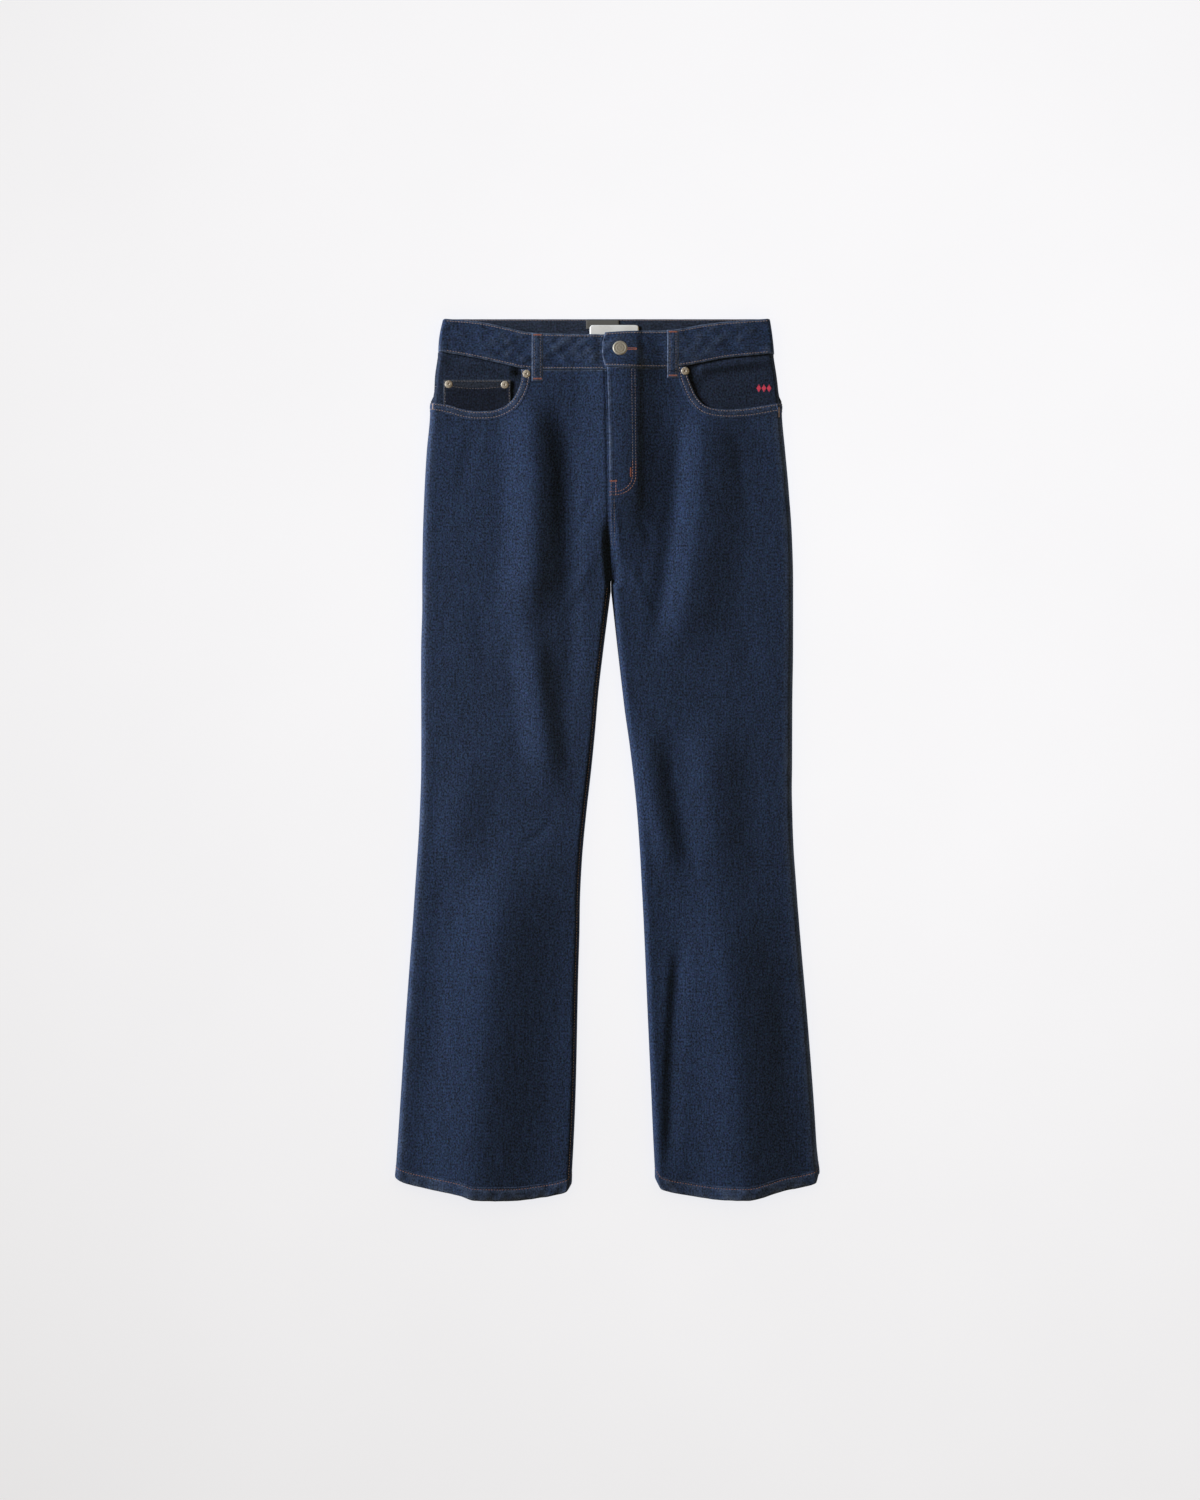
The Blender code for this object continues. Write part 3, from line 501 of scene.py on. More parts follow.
def placed(surface, x, down, level=0.0):
    """Points over a surface and the directions that it faces there."""
    step = 0.4
    x, down, level = (np.asarray(a, float) for a in np.broadcast_arrays(x, down, level))
    slope_x = (surface(x + step, down) - surface(x - step, down)) / (2 * step)
    slope_y = (surface(x, down - step) - surface(x, down + step)) / (2 * step)
    normals = np.stack([-slope_x, -slope_y, np.ones_like(slope_x)], axis=-1)
    normals /= np.linalg.norm(normals, axis=-1, keepdims=True)
    points = np.stack([x, HALF_LENGTH - down, surface(x, down)], axis=-1)
    return points + normals * level[..., None], normals


# ---------------------------------------------------------------- grids of points

def grid(x, down, z):
    """Points in millimetres, as rows from the waist down and columns from -X to +X."""
    x, down, z = np.broadcast_arrays(x, down, z)
    return np.stack([x, HALF_LENGTH - down, z], axis=-1).astype(float)


def facing_directions(points):
    """Unit normals of a grid of points."""
    normals = np.cross(np.gradient(points, axis=0), np.gradient(points, axis=1))
    return normals / np.linalg.norm(normals, axis=2, keepdims=True)


def roll_distances(radius, round_share):
    """Distances in from an edge that rolls where round_share is 1 and stays flat where it is 0."""
    angles = np.linspace(0, math.pi / 2, ROLL_STEPS)
    even = angles / angles[-1]
    return radius * (even + (1 - np.cos(angles) - even) * np.asarray(round_share)[..., None])


def panel_columns(side, rows):
    """x and distance in from both edges, for each row and column of one front panel."""
    outer = seam(side + "_outer", rows)
    inner = seam(side + "_inner", rows) + SIDES[side] * GAP / 2
    width = np.abs(outer - inner)
    below = smoothstep(CROTCH - ROLL_ABOVE_CROTCH, CROTCH, rows)
    from_outer = roll_distances(EDGE_ROLL, np.ones_like(rows))
    from_inner = roll_distances(EDGE_ROLL, below)
    near = np.tile(spaced(EDGE_ROLL, 42, 2.2)[1:], (len(rows), 1))
    from_inner = np.hstack((from_inner, near))
    share = spaced(0, 1, PANEL_STEP / np.mean(width - EDGE_ROLL - 42))[1:-1]
    first = from_outer[:, -1:]
    last = width[:, None] - from_inner[:, -1:]
    between = first + (last - first) * share
    across = np.hstack((from_outer, between, width[:, None] - from_inner[:, ::-1]))
    x = outer[:, None] - SIDES[side] * across
    return x, across, width[:, None] - across


def front_panel(side, rows):
    """The outer surface of a whole front panel, before its pocket mouth is cut."""
    x, from_outer, from_inner = panel_columns(side, rows)
    down = shaped_rows(side, rows[:, None], x)
    points = grid(x, down, panel_height(side, x, down, from_outer, from_inner))
    return left_to_right(side, points)


def back_sheet(side, rows, top_rows, bottom_rows):
    """The upper face of a back piece between two sets of cross lines."""
    drawn_in = BACK_DRAWN_IN * (1 - smoothstep(*DRAWN_IN, rows))
    outer = (seam(side + "_outer", rows) - SIDES[side] * drawn_in)[:, None]
    inner = (seam(side + "_inner", rows) + SIDES[side] * GAP / 2)[:, None]
    x = outer + (inner - outer) * spaced(0, 1, BACK_STEP / 205)
    first, last = rows[0], rows[-1]
    bend = (last - first) * 0.4
    near_top = 1 - smoothstep(first, first + bend, rows[:, None])
    near_bottom = smoothstep(last - bend, last, rows[:, None])
    down = rows[:, None] + (top_rows(x) - first) * near_top + (bottom_rows(x) - last) * near_bottom
    points = grid(x, down, back_top(down))
    return left_to_right(side, points)


def signed_distance(line, x, down):
    """Distance from a line of (x, down) points, positive on the left as one walks along it."""
    line = np.asarray(line, float)
    starts = line[:-1]
    along = np.diff(line, axis=0)
    lengths = np.hypot(along[:, 0], along[:, 1])
    best = np.full(np.shape(x), np.inf)
    signed = np.zeros(np.shape(x))
    for start, step, length in zip(starts, along, lengths):
        dx = x - start[0]
        dd = down - start[1]
        t = np.clip((dx * step[0] + dd * step[1]) / length ** 2, 0, 1)
        distance = np.hypot(dx - t * step[0], dd - t * step[1])
        cross = step[0] * dd - step[1] * dx
        closer = distance < best
        best = np.where(closer, distance, best)
        signed = np.where(closer, -np.sign(cross) * distance, signed)
    return signed


def along_line(points, step):
    """Evenly spaced places along a smooth line of (x, down) points."""
    points = np.asarray(points, float)
    lengths = np.concatenate(([0], np.cumsum(np.hypot(*np.diff(points, axis=0).T))))
    t = spaced(0, lengths[-1], step)
    return np.stack([through(list(zip(lengths, points[:, i])), t) for i in (0, 1)], axis=1)


def inward(line, turn):
    """Unit directions across a line of (x, down) points. turn is 1 or -1 and picks the side."""
    along = np.gradient(line, axis=0)
    across = np.stack([-along[:, 1], along[:, 0]], axis=1) * turn
    return across / np.linalg.norm(across, axis=1, keepdims=True)


# ---------------------------------------------------------------- meshes

def plain_mesh(name, points, faces):
    """A mesh from points in millimetres, with no loose points."""
    used, renumbered = np.unique([i for face in faces for i in face], return_inverse=True)
    counts = np.cumsum([0] + [len(face) for face in faces])
    renumbered = renumbered.tolist()
    mesh = bpy.data.meshes.new(name)
    mesh.from_pydata((np.asarray(points)[used] * MM).tolist(), [],
                     [renumbered[a:b] for a, b in zip(counts[:-1], counts[1:])])
    mesh.shade_smooth()
    return mesh, used


def dress(mesh, used, places, wear_and_painted_light):
    """Give a mesh its cloth coordinates in metres, and its wear with painted light."""
    corners = np.empty(len(mesh.loops), int)
    mesh.loops.foreach_get("vertex_index", corners)
    layer = mesh.uv_layers.new(name="cloth")
    layer.data.foreach_set("uv", (np.asarray(places)[used][corners] * MM).astype(np.float32).ravel())
    worn_and_painted_light = mesh.attributes.new("wear_and_painted_light", "FLOAT", "POINT")
    worn_and_painted_light.data.foreach_set("value", np.asarray(wear_and_painted_light)[used].astype(np.float32))


def add_piece(name, mesh, materials, replaced=()):
    """Add a finished piece that rides on the garment and stands for its solids."""
    piece = bpy.data.objects.new(name, mesh)
    for material in materials:
        mesh.materials.append(material)
    JEANS.objects.link(piece)
    if name.startswith("cloth_") and "loop" not in name:
        PANELS.objects.link(piece)
    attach(piece, "root")
    if replaced:
        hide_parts(*replaced)
    return piece


def unrolled(points):
    """Cloth coordinates of a grid: x laid flat from the middle column, and y."""
    steps = np.linalg.norm(np.diff(points, axis=1), axis=2)
    along = np.hstack((np.zeros((len(points), 1)), np.cumsum(steps, axis=1)))
    middle = points.shape[1] // 2
    across = points[:, middle, 0][:, None] + along - along[:, middle][:, None]
    return np.stack([across, points[..., 1]], axis=-1)


EDGE_TURNS = {"top": (0, 1), "bottom": (0, -1), "first": (1, 1), "last": (1, -1)}


def edged(points, edges, radius):
    """Add lines close to the chosen edges. Gives each point's share of the half thickness and wear."""
    share = np.ones(points.shape[:2])
    worn_and_painted_light = np.zeros(points.shape[:2])
    for edge in edges:
        axis, way = EDGE_TURNS[edge]
        p = np.moveaxis(points, axis, 0)[::way]
        s = np.moveaxis(share, axis, 0)[::way]
        w = np.moveaxis(worn_and_painted_light, axis, 0)[::way]
        along = p[1] - p[0]
        along = along / np.linalg.norm(along, axis=-1, keepdims=True)
        angles = np.radians(EDGE_ANGLES)
        lines = [p[0] + along * radius * (1 - math.cos(a)) for a in angles]
        full = p[0] + along * radius
        p = np.concatenate((lines, [full], p[1:]))
        s = np.concatenate(([s[0] * math.sin(a) for a in angles], [s[0]], s[1:]))
        w = np.concatenate(([np.ones_like(w[0])] * len(angles), [np.maximum(w[0], EDGE_WEAR)], w[1:]))
        points = np.moveaxis(p[::way], 0, axis)
        share = np.moveaxis(s[::way], 0, axis)
        worn_and_painted_light = np.moveaxis(w[::way], 0, axis)
    return points, share, worn_and_painted_light


def grid_faces(rows, columns, keep):
    """Faces of a grid where keep is positive, and the new points where its lines cross zero."""
    faces = []
    crossings = {}

    def crossing(a, b):
        key = (min(a, b), max(a, b))
        if key not in crossings:
            crossings[key] = rows * columns + len(crossings)
        return crossings[key]

    for r in range(rows - 1):
        for c in range(columns - 1):
            d = c + 1
            corners = (r * columns + c, (r + 1) * columns + c, (r + 1) * columns + d, r * columns + d)
            inside = [keep[i] > 0 for i in corners]
            if all(inside):
                faces.append(corners)
                continue
            if not any(inside):
                continue
            face = []
            for k in range(4):
                a, b = corners[k], corners[(k + 1) % 4]
                if inside[k]:
                    face.append(a)
                if inside[k] != inside[(k + 1) % 4]:
                    face.append(crossing(a, b))
            if len(face) > 2:
                faces.append(tuple(face))
    return faces, list(crossings)


def shell(points, thickness, edges=(), keep=None, places=None, wear_and_painted_light=0.0):
    """A closed wall of cloth under a grid of points, with rounded edges where they are named.

    keep(x, down) is negative where the cloth is cut away. Returns points, faces, which of
    the faces are on the far side, cloth coordinates, and wear with painted light.
    """
    points, share, worn_and_painted_light = edged(points, edges, thickness / 2)
    rows, columns = points.shape[:2]
    x, down = points[..., 0], HALF_LENGTH - points[..., 1]
    if callable(wear_and_painted_light):
        wear_and_painted_light = wear_and_painted_light(x, down)
    normals = facing_directions(points)
    drop = (1 - share) * thickness / 2
    near = (points - normals * drop[..., None]).reshape(-1, 3)
    far = (points - normals * (thickness - drop)[..., None]).reshape(-1, 3)
    flat = (unrolled(points) if places is None else places(points)).reshape(-1, 2)
    kept = np.ones(rows * columns)
    if keep is not None:
        kept = keep(x, down).ravel()
    faces, crossings = grid_faces(rows, columns, kept)
    worn_and_painted_light = np.clip(wear_and_painted_light + worn_and_painted_light * (0.7 + 0.5 * uneven(x, down, 9, 14)), 0, 1).ravel()
    share = share.ravel()
    if crossings:
        a, b = np.array(crossings).T
        t = kept[a] / (kept[a] - kept[b])
        near = np.vstack((near, near[a] + (near[b] - near[a]) * t[:, None]))
        far = np.vstack((far, far[a] + (far[b] - far[a]) * t[:, None]))
        flat = np.vstack((flat, flat[a] + (flat[b] - flat[a]) * t[:, None]))
        worn_and_painted_light = np.concatenate((worn_and_painted_light, worn_and_painted_light[a]))
        share = np.concatenate((share, np.ones(len(a))))
    count = len(near)
    behind = np.where(share < 1e-6, np.arange(count), np.arange(count) + count)
    borders = {}
    for face in faces:
        for a, b in zip(face, face[1:] + face[:1]):
            borders[(a, b)] = borders.get((a, b), 0) + 1
    rim = [(b, a, behind[a], behind[b]) for a, b in borders if (b, a) not in borders]
    rim = [face for face in rim if not (face[0] == face[3] and face[1] == face[2])]
    rim = [tuple(dict.fromkeys(face)) for face in rim]
    back = [tuple(behind[i] for i in reversed(face)) for face in faces]
    on_back = [False] * len(faces) + [True] * len(back) + [False] * len(rim)
    return (np.vstack((near, far)), faces + back + rim, on_back, np.vstack((flat, flat)),
            np.concatenate((worn_and_painted_light, worn_and_painted_light)))


def flat_area(points, keep=None):
    """Area of a grid in square metres, without what is cut away."""
    along = points[1:, :-1] - points[:-1, :-1]
    across = points[:-1, 1:] - points[:-1, :-1]
    areas = np.linalg.norm(np.cross(along, across), axis=2)
    if keep is not None:
        areas = areas * (keep(points[:-1, :-1, 0], HALF_LENGTH - points[:-1, :-1, 1]) > 0)
    return float(areas.sum()) * MM * MM


def cloth_piece(name, points, thickness, materials, replaced, edges=(), keep=None,
                places=None, wear_and_painted_light=0.0):
    """A sheet of cloth from a grid of its outer surface."""
    verts, faces, on_back, flat, worn_and_painted_light = shell(points, thickness, edges, keep, places, wear_and_painted_light)
    mesh, used = plain_mesh(name, verts, faces)
    dress(mesh, used, flat, worn_and_painted_light)
    piece = add_piece(name, mesh, materials, replaced)
    if len(materials) > 1:
        mesh.polygons.foreach_set("material_index", np.array(on_back, np.int32))
    area = flat_area(points, keep)
    laid = unrolled(points)
    return piece


def swept(name, sections, flat, wear_and_painted_light, materials, closed=False, replaced=()):
    """A closed body through a row of closed sections, such as a seam's turned edge."""
    rows, columns = sections.shape[:2]
    faces = []
    for r in range(rows if closed else rows - 1):
        s = (r + 1) % rows
        for c in range(columns):
            d = (c + 1) % columns
            faces.append((r * columns + c, s * columns + c, s * columns + d, r * columns + d))
    if not closed:
        faces.append(tuple(range(columns)))
        faces.append(tuple(range(rows * columns - 1, (rows - 1) * columns - 1, -1)))
    mesh, used = plain_mesh(name, sections.reshape(-1, 3), faces)
    dress(mesh, used, flat.reshape(-1, 2), wear_and_painted_light.reshape(-1))
    shape = bmesh.new()
    shape.from_mesh(mesh)
    bmesh.ops.recalc_face_normals(shape, faces=shape.faces)
    shape.to_mesh(mesh)
    shape.free()
    return add_piece(name, mesh, materials, replaced)


def turned(name, profile, steps, place, normal, materials, replaced):
    """A turned piece of metal trim, standing on the cloth."""
    profile = np.asarray(profile, float)
    angles = np.linspace(0, math.tau, steps, endpoint=False)
    ring = profile[1:-1]
    points = [(0, 0, profile[0][1])]
    for radius, height in ring:
        points += [(radius * math.cos(a), radius * math.sin(a), height) for a in angles]
    points.append((0, 0, profile[-1][1]))
    faces = []
    for k in range(steps):
        n = (k + 1) % steps
        faces.append((0, 1 + k, 1 + n))
        for r in range(len(ring) - 1):
            a = 1 + r * steps
            b = a + steps
            faces.append((a + k, b + k, b + n, a + n))
        last = 1 + (len(ring) - 1) * steps
        faces.append((last + k, len(points) - 1, last + n))
    turn = np.array(Vector(normal).to_track_quat("Z", "Y").to_matrix())
    mesh, _ = plain_mesh(name, np.array(points) @ turn.T + np.asarray(place), faces)
    return add_piece(name, mesh, materials, replaced)


# ---------------------------------------------------------------- sewing by geometry nodes

def socket(tree, name, kind, default=None):
    """Add a named input to a node tree."""
    made = tree.interface.new_socket(name=name, in_out="INPUT", socket_type=kind)
    if default is not None:
        made.default_value = default
    return made


def add(tree, kind, inputs=(), **settings):
    """Add a node, set its properties, and fill or link its inputs by name or place."""
    made = tree.nodes.new(kind)
    for key, value in settings.items():
        setattr(made, key, value)
    for key, value in dict(inputs).items():
        target = made.inputs[key]
        if isinstance(value, bpy.types.NodeSocket):
            tree.links.new(value, target)
        else:
            target.default_value = value
    return made


def stored(tree, name, kind):
    """Read a named attribute of the sewn line."""
    return add(tree, "GeometryNodeInputNamedAttribute", {"Name": name}, data_type=kind).outputs[0]


def random_value(tree, low, high, seed):
    """A different value for each stitch, from a fixed seed."""
    chance = add(tree, "FunctionNodeRandomValue", data_type="FLOAT")
    values = {"Min_001": low, "Max_001": high, "Seed": seed}
    for made in chance.inputs:
        if made.identifier in values:
            made.default_value = values[made.identifier]
    return next(made for made in chance.outputs if made.identifier == "Value_001")


def make_stitch_tree():
    """Stitches along every line of a mesh: short arched threads laid at a pitch."""
    tree = bpy.data.node_groups.new("Stitches along lines", "GeometryNodeTree")
    tree.interface.new_socket(name="Stitches", in_out="OUTPUT", socket_type="NodeSocketGeometry")
    socket(tree, "Lines", "NodeSocketGeometry")
    socket(tree, "Pitch", "NodeSocketFloat", STITCH["pitch"] * MM)
    socket(tree, "Thread", "NodeSocketFloat", STITCH["thick"] * MM)
    socket(tree, "Arch", "NodeSocketFloat", 0.25 * MM)
    socket(tree, "Thread material", "NodeSocketMaterial")
    given = tree.nodes.new("NodeGroupInput").outputs
    lines = add(tree, "GeometryNodeMeshToCurve", {"Mesh": given["Lines"]})
    places = add(tree, "GeometryNodeResampleCurve", {"Curve": lines.outputs[0]}, mode="LENGTH")
    tree.links.new(given["Pitch"], places.inputs["Length"])

    dip = add(tree, "ShaderNodeMath", {0: given["Arch"], 1: -1.0}, operation="MULTIPLY").outputs[0]
    start = add(tree, "ShaderNodeCombineXYZ", {"X": -0.5, "Z": dip}).outputs[0]
    middle = add(tree, "ShaderNodeCombineXYZ", {"Z": given["Arch"]}).outputs[0]
    end = add(tree, "ShaderNodeCombineXYZ", {"X": 0.5, "Z": dip}).outputs[0]
    arch = add(tree, "GeometryNodeCurveQuadraticBezier",
               {"Resolution": 5, "Start": start, "Middle": middle, "End": end})
    radius = add(tree, "ShaderNodeMath", {0: given["Thread"], 1: 0.5}, operation="MULTIPLY")
    section = add(tree, "GeometryNodeCurvePrimitiveCircle",
                  {"Resolution": 5, "Radius": radius.outputs[0]})
    factor = add(tree, "GeometryNodeSplineParameter").outputs["Factor"]
    left = add(tree, "ShaderNodeMath", {0: 1.0, 1: factor}, operation="SUBTRACT").outputs[0]
    bell = add(tree, "ShaderNodeMath", {0: factor, 1: left}, operation="MULTIPLY").outputs[0]
    bell = add(tree, "ShaderNodeMath", {0: bell, 1: 3.0, 2: 0.3}, operation="MULTIPLY_ADD").outputs[0]
    thread = add(tree, "GeometryNodeCurveToMesh",
                 {"Curve": arch.outputs[0], "Profile Curve": section.outputs[0],
                  "Scale": bell, "Fill Caps": True})

    facing = add(tree, "FunctionNodeAlignRotationToVector",
                 {"Vector": stored(tree, "out", "FLOAT_VECTOR")}, axis="Z")
    turned_on = add(tree, "FunctionNodeAlignRotationToVector",
                    {"Rotation": facing.outputs[0], "Vector": stored(tree, "along", "FLOAT_VECTOR")},
                    axis="X", pivot_axis="Z")
    chance_value = random_value(tree, 0.9, 1.08, 7)
    length = add(tree, "ShaderNodeMath", {0: stored(tree, "long", "FLOAT"), 1: chance_value},
                 operation="MULTIPLY").outputs[0]
    size = add(tree, "ShaderNodeCombineXYZ", {"X": length, "Y": chance_value, "Z": 1.0}).outputs[0]
    laid = add(tree, "GeometryNodeInstanceOnPoints",
               {"Points": places.outputs[0], "Instance": thread.outputs[0],
                "Rotation": turned_on.outputs[0], "Scale": size})
    real = add(tree, "GeometryNodeRealizeInstances", {"Geometry": laid.outputs[0]})
    smooth = add(tree, "GeometryNodeSetShadeSmooth", {"Geometry": real.outputs[0]})
    finished = add(tree, "GeometryNodeSetMaterial",
                   {"Geometry": smooth.outputs[0], "Material": given["Thread material"]})
    result = tree.nodes.new("NodeGroupOutput")
    tree.links.new(finished.outputs[0], result.inputs[0])
    return tree


def run_tree(tree, mesh, name, values):
    """Run a geometry node tree on a mesh and keep its result as a plain piece."""
    worker = bpy.data.objects.new(name + "_lines", mesh)
    bpy.context.scene.collection.objects.link(worker)
    modifier = worker.modifiers.new("sewing", "NODES")
    modifier.node_group = tree
    for item in tree.interface.items_tree:
        if item.in_out == "INPUT" and item.name in values:
            modifier[item.identifier] = values[item.name]
    bpy.context.view_layer.update()
    evaluated = worker.evaluated_get(bpy.context.evaluated_depsgraph_get())
    made = bpy.data.meshes.new_from_object(evaluated)
    made.name = name
    for attribute in ("out", "along", "long"):
        if attribute in made.attributes:
            made.attributes.remove(made.attributes[attribute])
    bpy.data.objects.remove(worker)
    bpy.data.meshes.remove(mesh)
    return add_piece(name, made, [])


def sewn_line(surface, line, level=0.0, across=False, long=None):
    """A line of stitches over a surface. across turns each stitch square to the line."""
    line = np.asarray(line, float)
    points, normals = placed(surface, line[:, 0], line[:, 1], level)
    along = np.gradient(points, axis=0)
    if across:
        along = np.cross(normals, along)
    along = along / np.linalg.norm(along, axis=1, keepdims=True)
    default = TACK["long"] if across else STITCH["long"]
    lengths = np.full(len(points), default) if long is None else np.asarray(long, float)
    return points, normals, along, lengths


def sew(name, lines, material, kind=STITCH):
    """Sew lines of stitches as one piece."""
    points = []
    outs = []
    alongs = []
    lengths = []
    edges = []
    for line_points, normals, along, long in lines:
        start = sum(len(p) for p in points)
        edges += [(start + i, start + i + 1) for i in range(len(line_points) - 1)]
        points.append(line_points)
        outs.append(normals)
        alongs.append(along)
        lengths.append(long)
    mesh = bpy.data.meshes.new(name + "_lines")
    mesh.from_pydata((np.vstack(points) * MM).tolist(), edges, [])
    for key, values in (("out", outs), ("along", alongs)):
        attribute = mesh.attributes.new(key, "FLOAT_VECTOR", "POINT")
        attribute.data.foreach_set("vector", np.vstack(values).astype(np.float32).ravel())
    attribute = mesh.attributes.new("long", "FLOAT", "POINT")
    attribute.data.foreach_set("value", (np.concatenate(lengths) * MM).astype(np.float32))
    values = {"Pitch": kind["pitch"] * MM, "Thread": kind["thick"] * MM,
              "Arch": kind["thick"] * 0.45 * MM, "Thread material": material}
    return run_tree(STITCHES, mesh, name, values)


# ---------------------------------------------------------------- materials

def new_group(name, inputs, outputs):
    """A shader node group with named sockets. Returns the tree, its inputs and its output node."""
    tree = bpy.data.node_groups.new(name, "ShaderNodeTree")
    for label, kind, default in inputs:
        made = tree.interface.new_socket(name=label, in_out="INPUT", socket_type=kind)
        if default is not None:
            made.default_value = default
    for label, kind in outputs:
        tree.interface.new_socket(name=label, in_out="OUTPUT", socket_type=kind)
    return tree, tree.nodes.new("NodeGroupInput").outputs, tree.nodes.new("NodeGroupOutput")


def give_results(tree, result, colour, rough, height):
    """Link an effect's three results to its output node."""
    for name, value in (("Colour", colour), ("Roughness", rough), ("Height", height)):
        tree.links.new(value, result.inputs[name])
    return tree


def maths(tree, operation, *values):
    """A Math node's result."""
    return add(tree, "ShaderNodeMath", dict(enumerate(values)), operation=operation).outputs[0]


def in_mm(tree, place):
    """A place in millimetres, from one in metres."""
    return add(tree, "ShaderNodeVectorMath", {0: place, 1: (1000, 1000, 1000)},
               operation="MULTIPLY").outputs[0]


def noise(tree, place, scale, stretch=(1, 1, 1), detail=2.0):
    """Noise over a place given in millimetres, with its own stretch, from 0 to 1."""
    at = add(tree, "ShaderNodeVectorMath", {0: place, 1: tuple(scale * s for s in stretch)},
             operation="MULTIPLY").outputs[0]
    made = add(tree, "ShaderNodeTexNoise", {"Vector": at, "Scale": 1.0, "Detail": detail})
    return made.outputs[0]


def ramp(tree, value, low, high, to_low=0.0, to_high=1.0):
    """Carry a value from one range to another, and stop at the ends."""
    made = add(tree, "ShaderNodeMapRange", {"Value": value, "From Min": low, "From Max": high,
                                            "To Min": to_low, "To Max": to_high})
    return made.outputs[0]


def mix(tree, share, first, second):
    """Mix two colours."""
    made = add(tree, "ShaderNodeMix", data_type="RGBA")
    for index, value in ((0, share), (6, first), (7, second)):
        if isinstance(value, bpy.types.NodeSocket):
            tree.links.new(value, made.inputs[index])
        else:
            made.inputs[index].default_value = value
    return made.outputs[2]


def make_denim_weave():
    """Ring-spun twill: indigo warp, pale weft in steep diagonal lines, slubs, and wear with painted light."""
    tree, given, result = new_group(
        "Denim weave",
        (("Place", "NodeSocketVector", None), ("Warp", "NodeSocketColor", None),
         ("Weft", "NodeSocketColor", None), ("Weft shown", "NodeSocketFloat", 0.2),
         ("Wear and painted light", "NodeSocketFloat", 0.0)),
        (("Colour", "NodeSocketColor"), ("Roughness", "NodeSocketFloat"),
         ("Height", "NodeSocketFloat")))
    place = in_mm(tree, given["Place"])
    split = add(tree, "ShaderNodeSeparateXYZ", {0: place})
    x, y = split.outputs["X"], split.outputs["Y"]
    # Warp threads run along y. A twill line steps one thread across for every two along.
    thread_pitch = 0.55
    line_pitch = 1.5
    warp = maths(tree, "ABSOLUTE", maths(tree, "SINE", maths(tree, "MULTIPLY", x, math.pi / thread_pitch)))
    steps = maths(tree, "ADD", maths(tree, "MULTIPLY", x, 2 / line_pitch),
                  maths(tree, "MULTIPLY", y, 1 / line_pitch))
    twill = maths(tree, "SINE", maths(tree, "MULTIPLY", steps, math.tau))
    twill = ramp(tree, twill, -0.2, 0.9)
    streaks = noise(tree, place, 1.0, (0.40, 0.03, 1), 3.0)
    fine_streaks = noise(tree, place, 1.0, (0.95, 0.09, 1), 2.0)
    grain = noise(tree, place, 0.54, (1, 0.78, 1), 2.0)
    mottle = noise(tree, place, 0.11, (1, 0.7, 1), 2.0)
    flecks = noise(tree, place, 1.3, (1, 0.5, 1), 2.0)
    clouds = noise(tree, place, 0.018, (1, 0.6, 1), 2.0)
    shown = maths(tree, "MULTIPLY", maths(tree, "SUBTRACT", 1.0, twill), given["Weft shown"])
    shown = maths(tree, "ADD", shown, maths(tree, "MULTIPLY", ramp(tree, flecks, 0.56, 0.78), 0.2))
    # Wear and painted light bare more of the pale weft.
    rubbed_and_painted_light = maths(tree, "MULTIPLY", given["Wear and painted light"], ramp(tree, grain, 0.3, 0.75, 0.2, 0.75))
    shown = maths(tree, "ADD", shown, rubbed_and_painted_light)
    light = ramp(tree, streaks, 0.3, 0.7, -0.28, 0.28)
    for field, low, high, strength in ((grain, 0.3, 0.7, 1.0), (fine_streaks, 0.3, 0.7, 0.32),
                                       (mottle, 0.3, 0.7, 0.1), (clouds, 0.35, 0.65, 0.06)):
        light = maths(tree, "ADD", light, ramp(tree, field, low, high, -strength, strength))
    light = maths(tree, "MAXIMUM", maths(tree, "ADD", light, 1.0), 0.15)
    dyed = add(tree, "ShaderNodeVectorMath", {0: given["Warp"]}, operation="SCALE")
    tree.links.new(light, dyed.inputs["Scale"])
    spread = add(tree, "ShaderNodeVectorMath", {0: place, 1: (0.62, 0.34, 1)}, operation="MULTIPLY")
    hues = add(tree, "ShaderNodeTexNoise", {"Vector": spread.outputs[0], "Scale": 1.0, "Detail": 2.0})
    tint = add(tree, "ShaderNodeVectorMath",
               {0: hues.outputs["Color"], 1: (1.5, 0.8, 0.5), 2: (0.25, 0.6, 0.75)},
               operation="MULTIPLY_ADD")
    tinted = add(tree, "ShaderNodeVectorMath", {0: dyed.outputs[0], 1: tint.outputs[0]}, operation="MULTIPLY")
    colour = mix(tree, shown, tinted.outputs[0], given["Weft"])
    height = maths(tree, "ADD", maths(tree, "MULTIPLY", warp, 0.3), maths(tree, "MULTIPLY", twill, 0.5))
    height = maths(tree, "ADD", height, maths(tree, "MULTIPLY", grain, 0.6))
    rough = ramp(tree, grain, 0.2, 0.8, 0.96, 0.84)
    return give_results(tree, result, colour, rough, height)


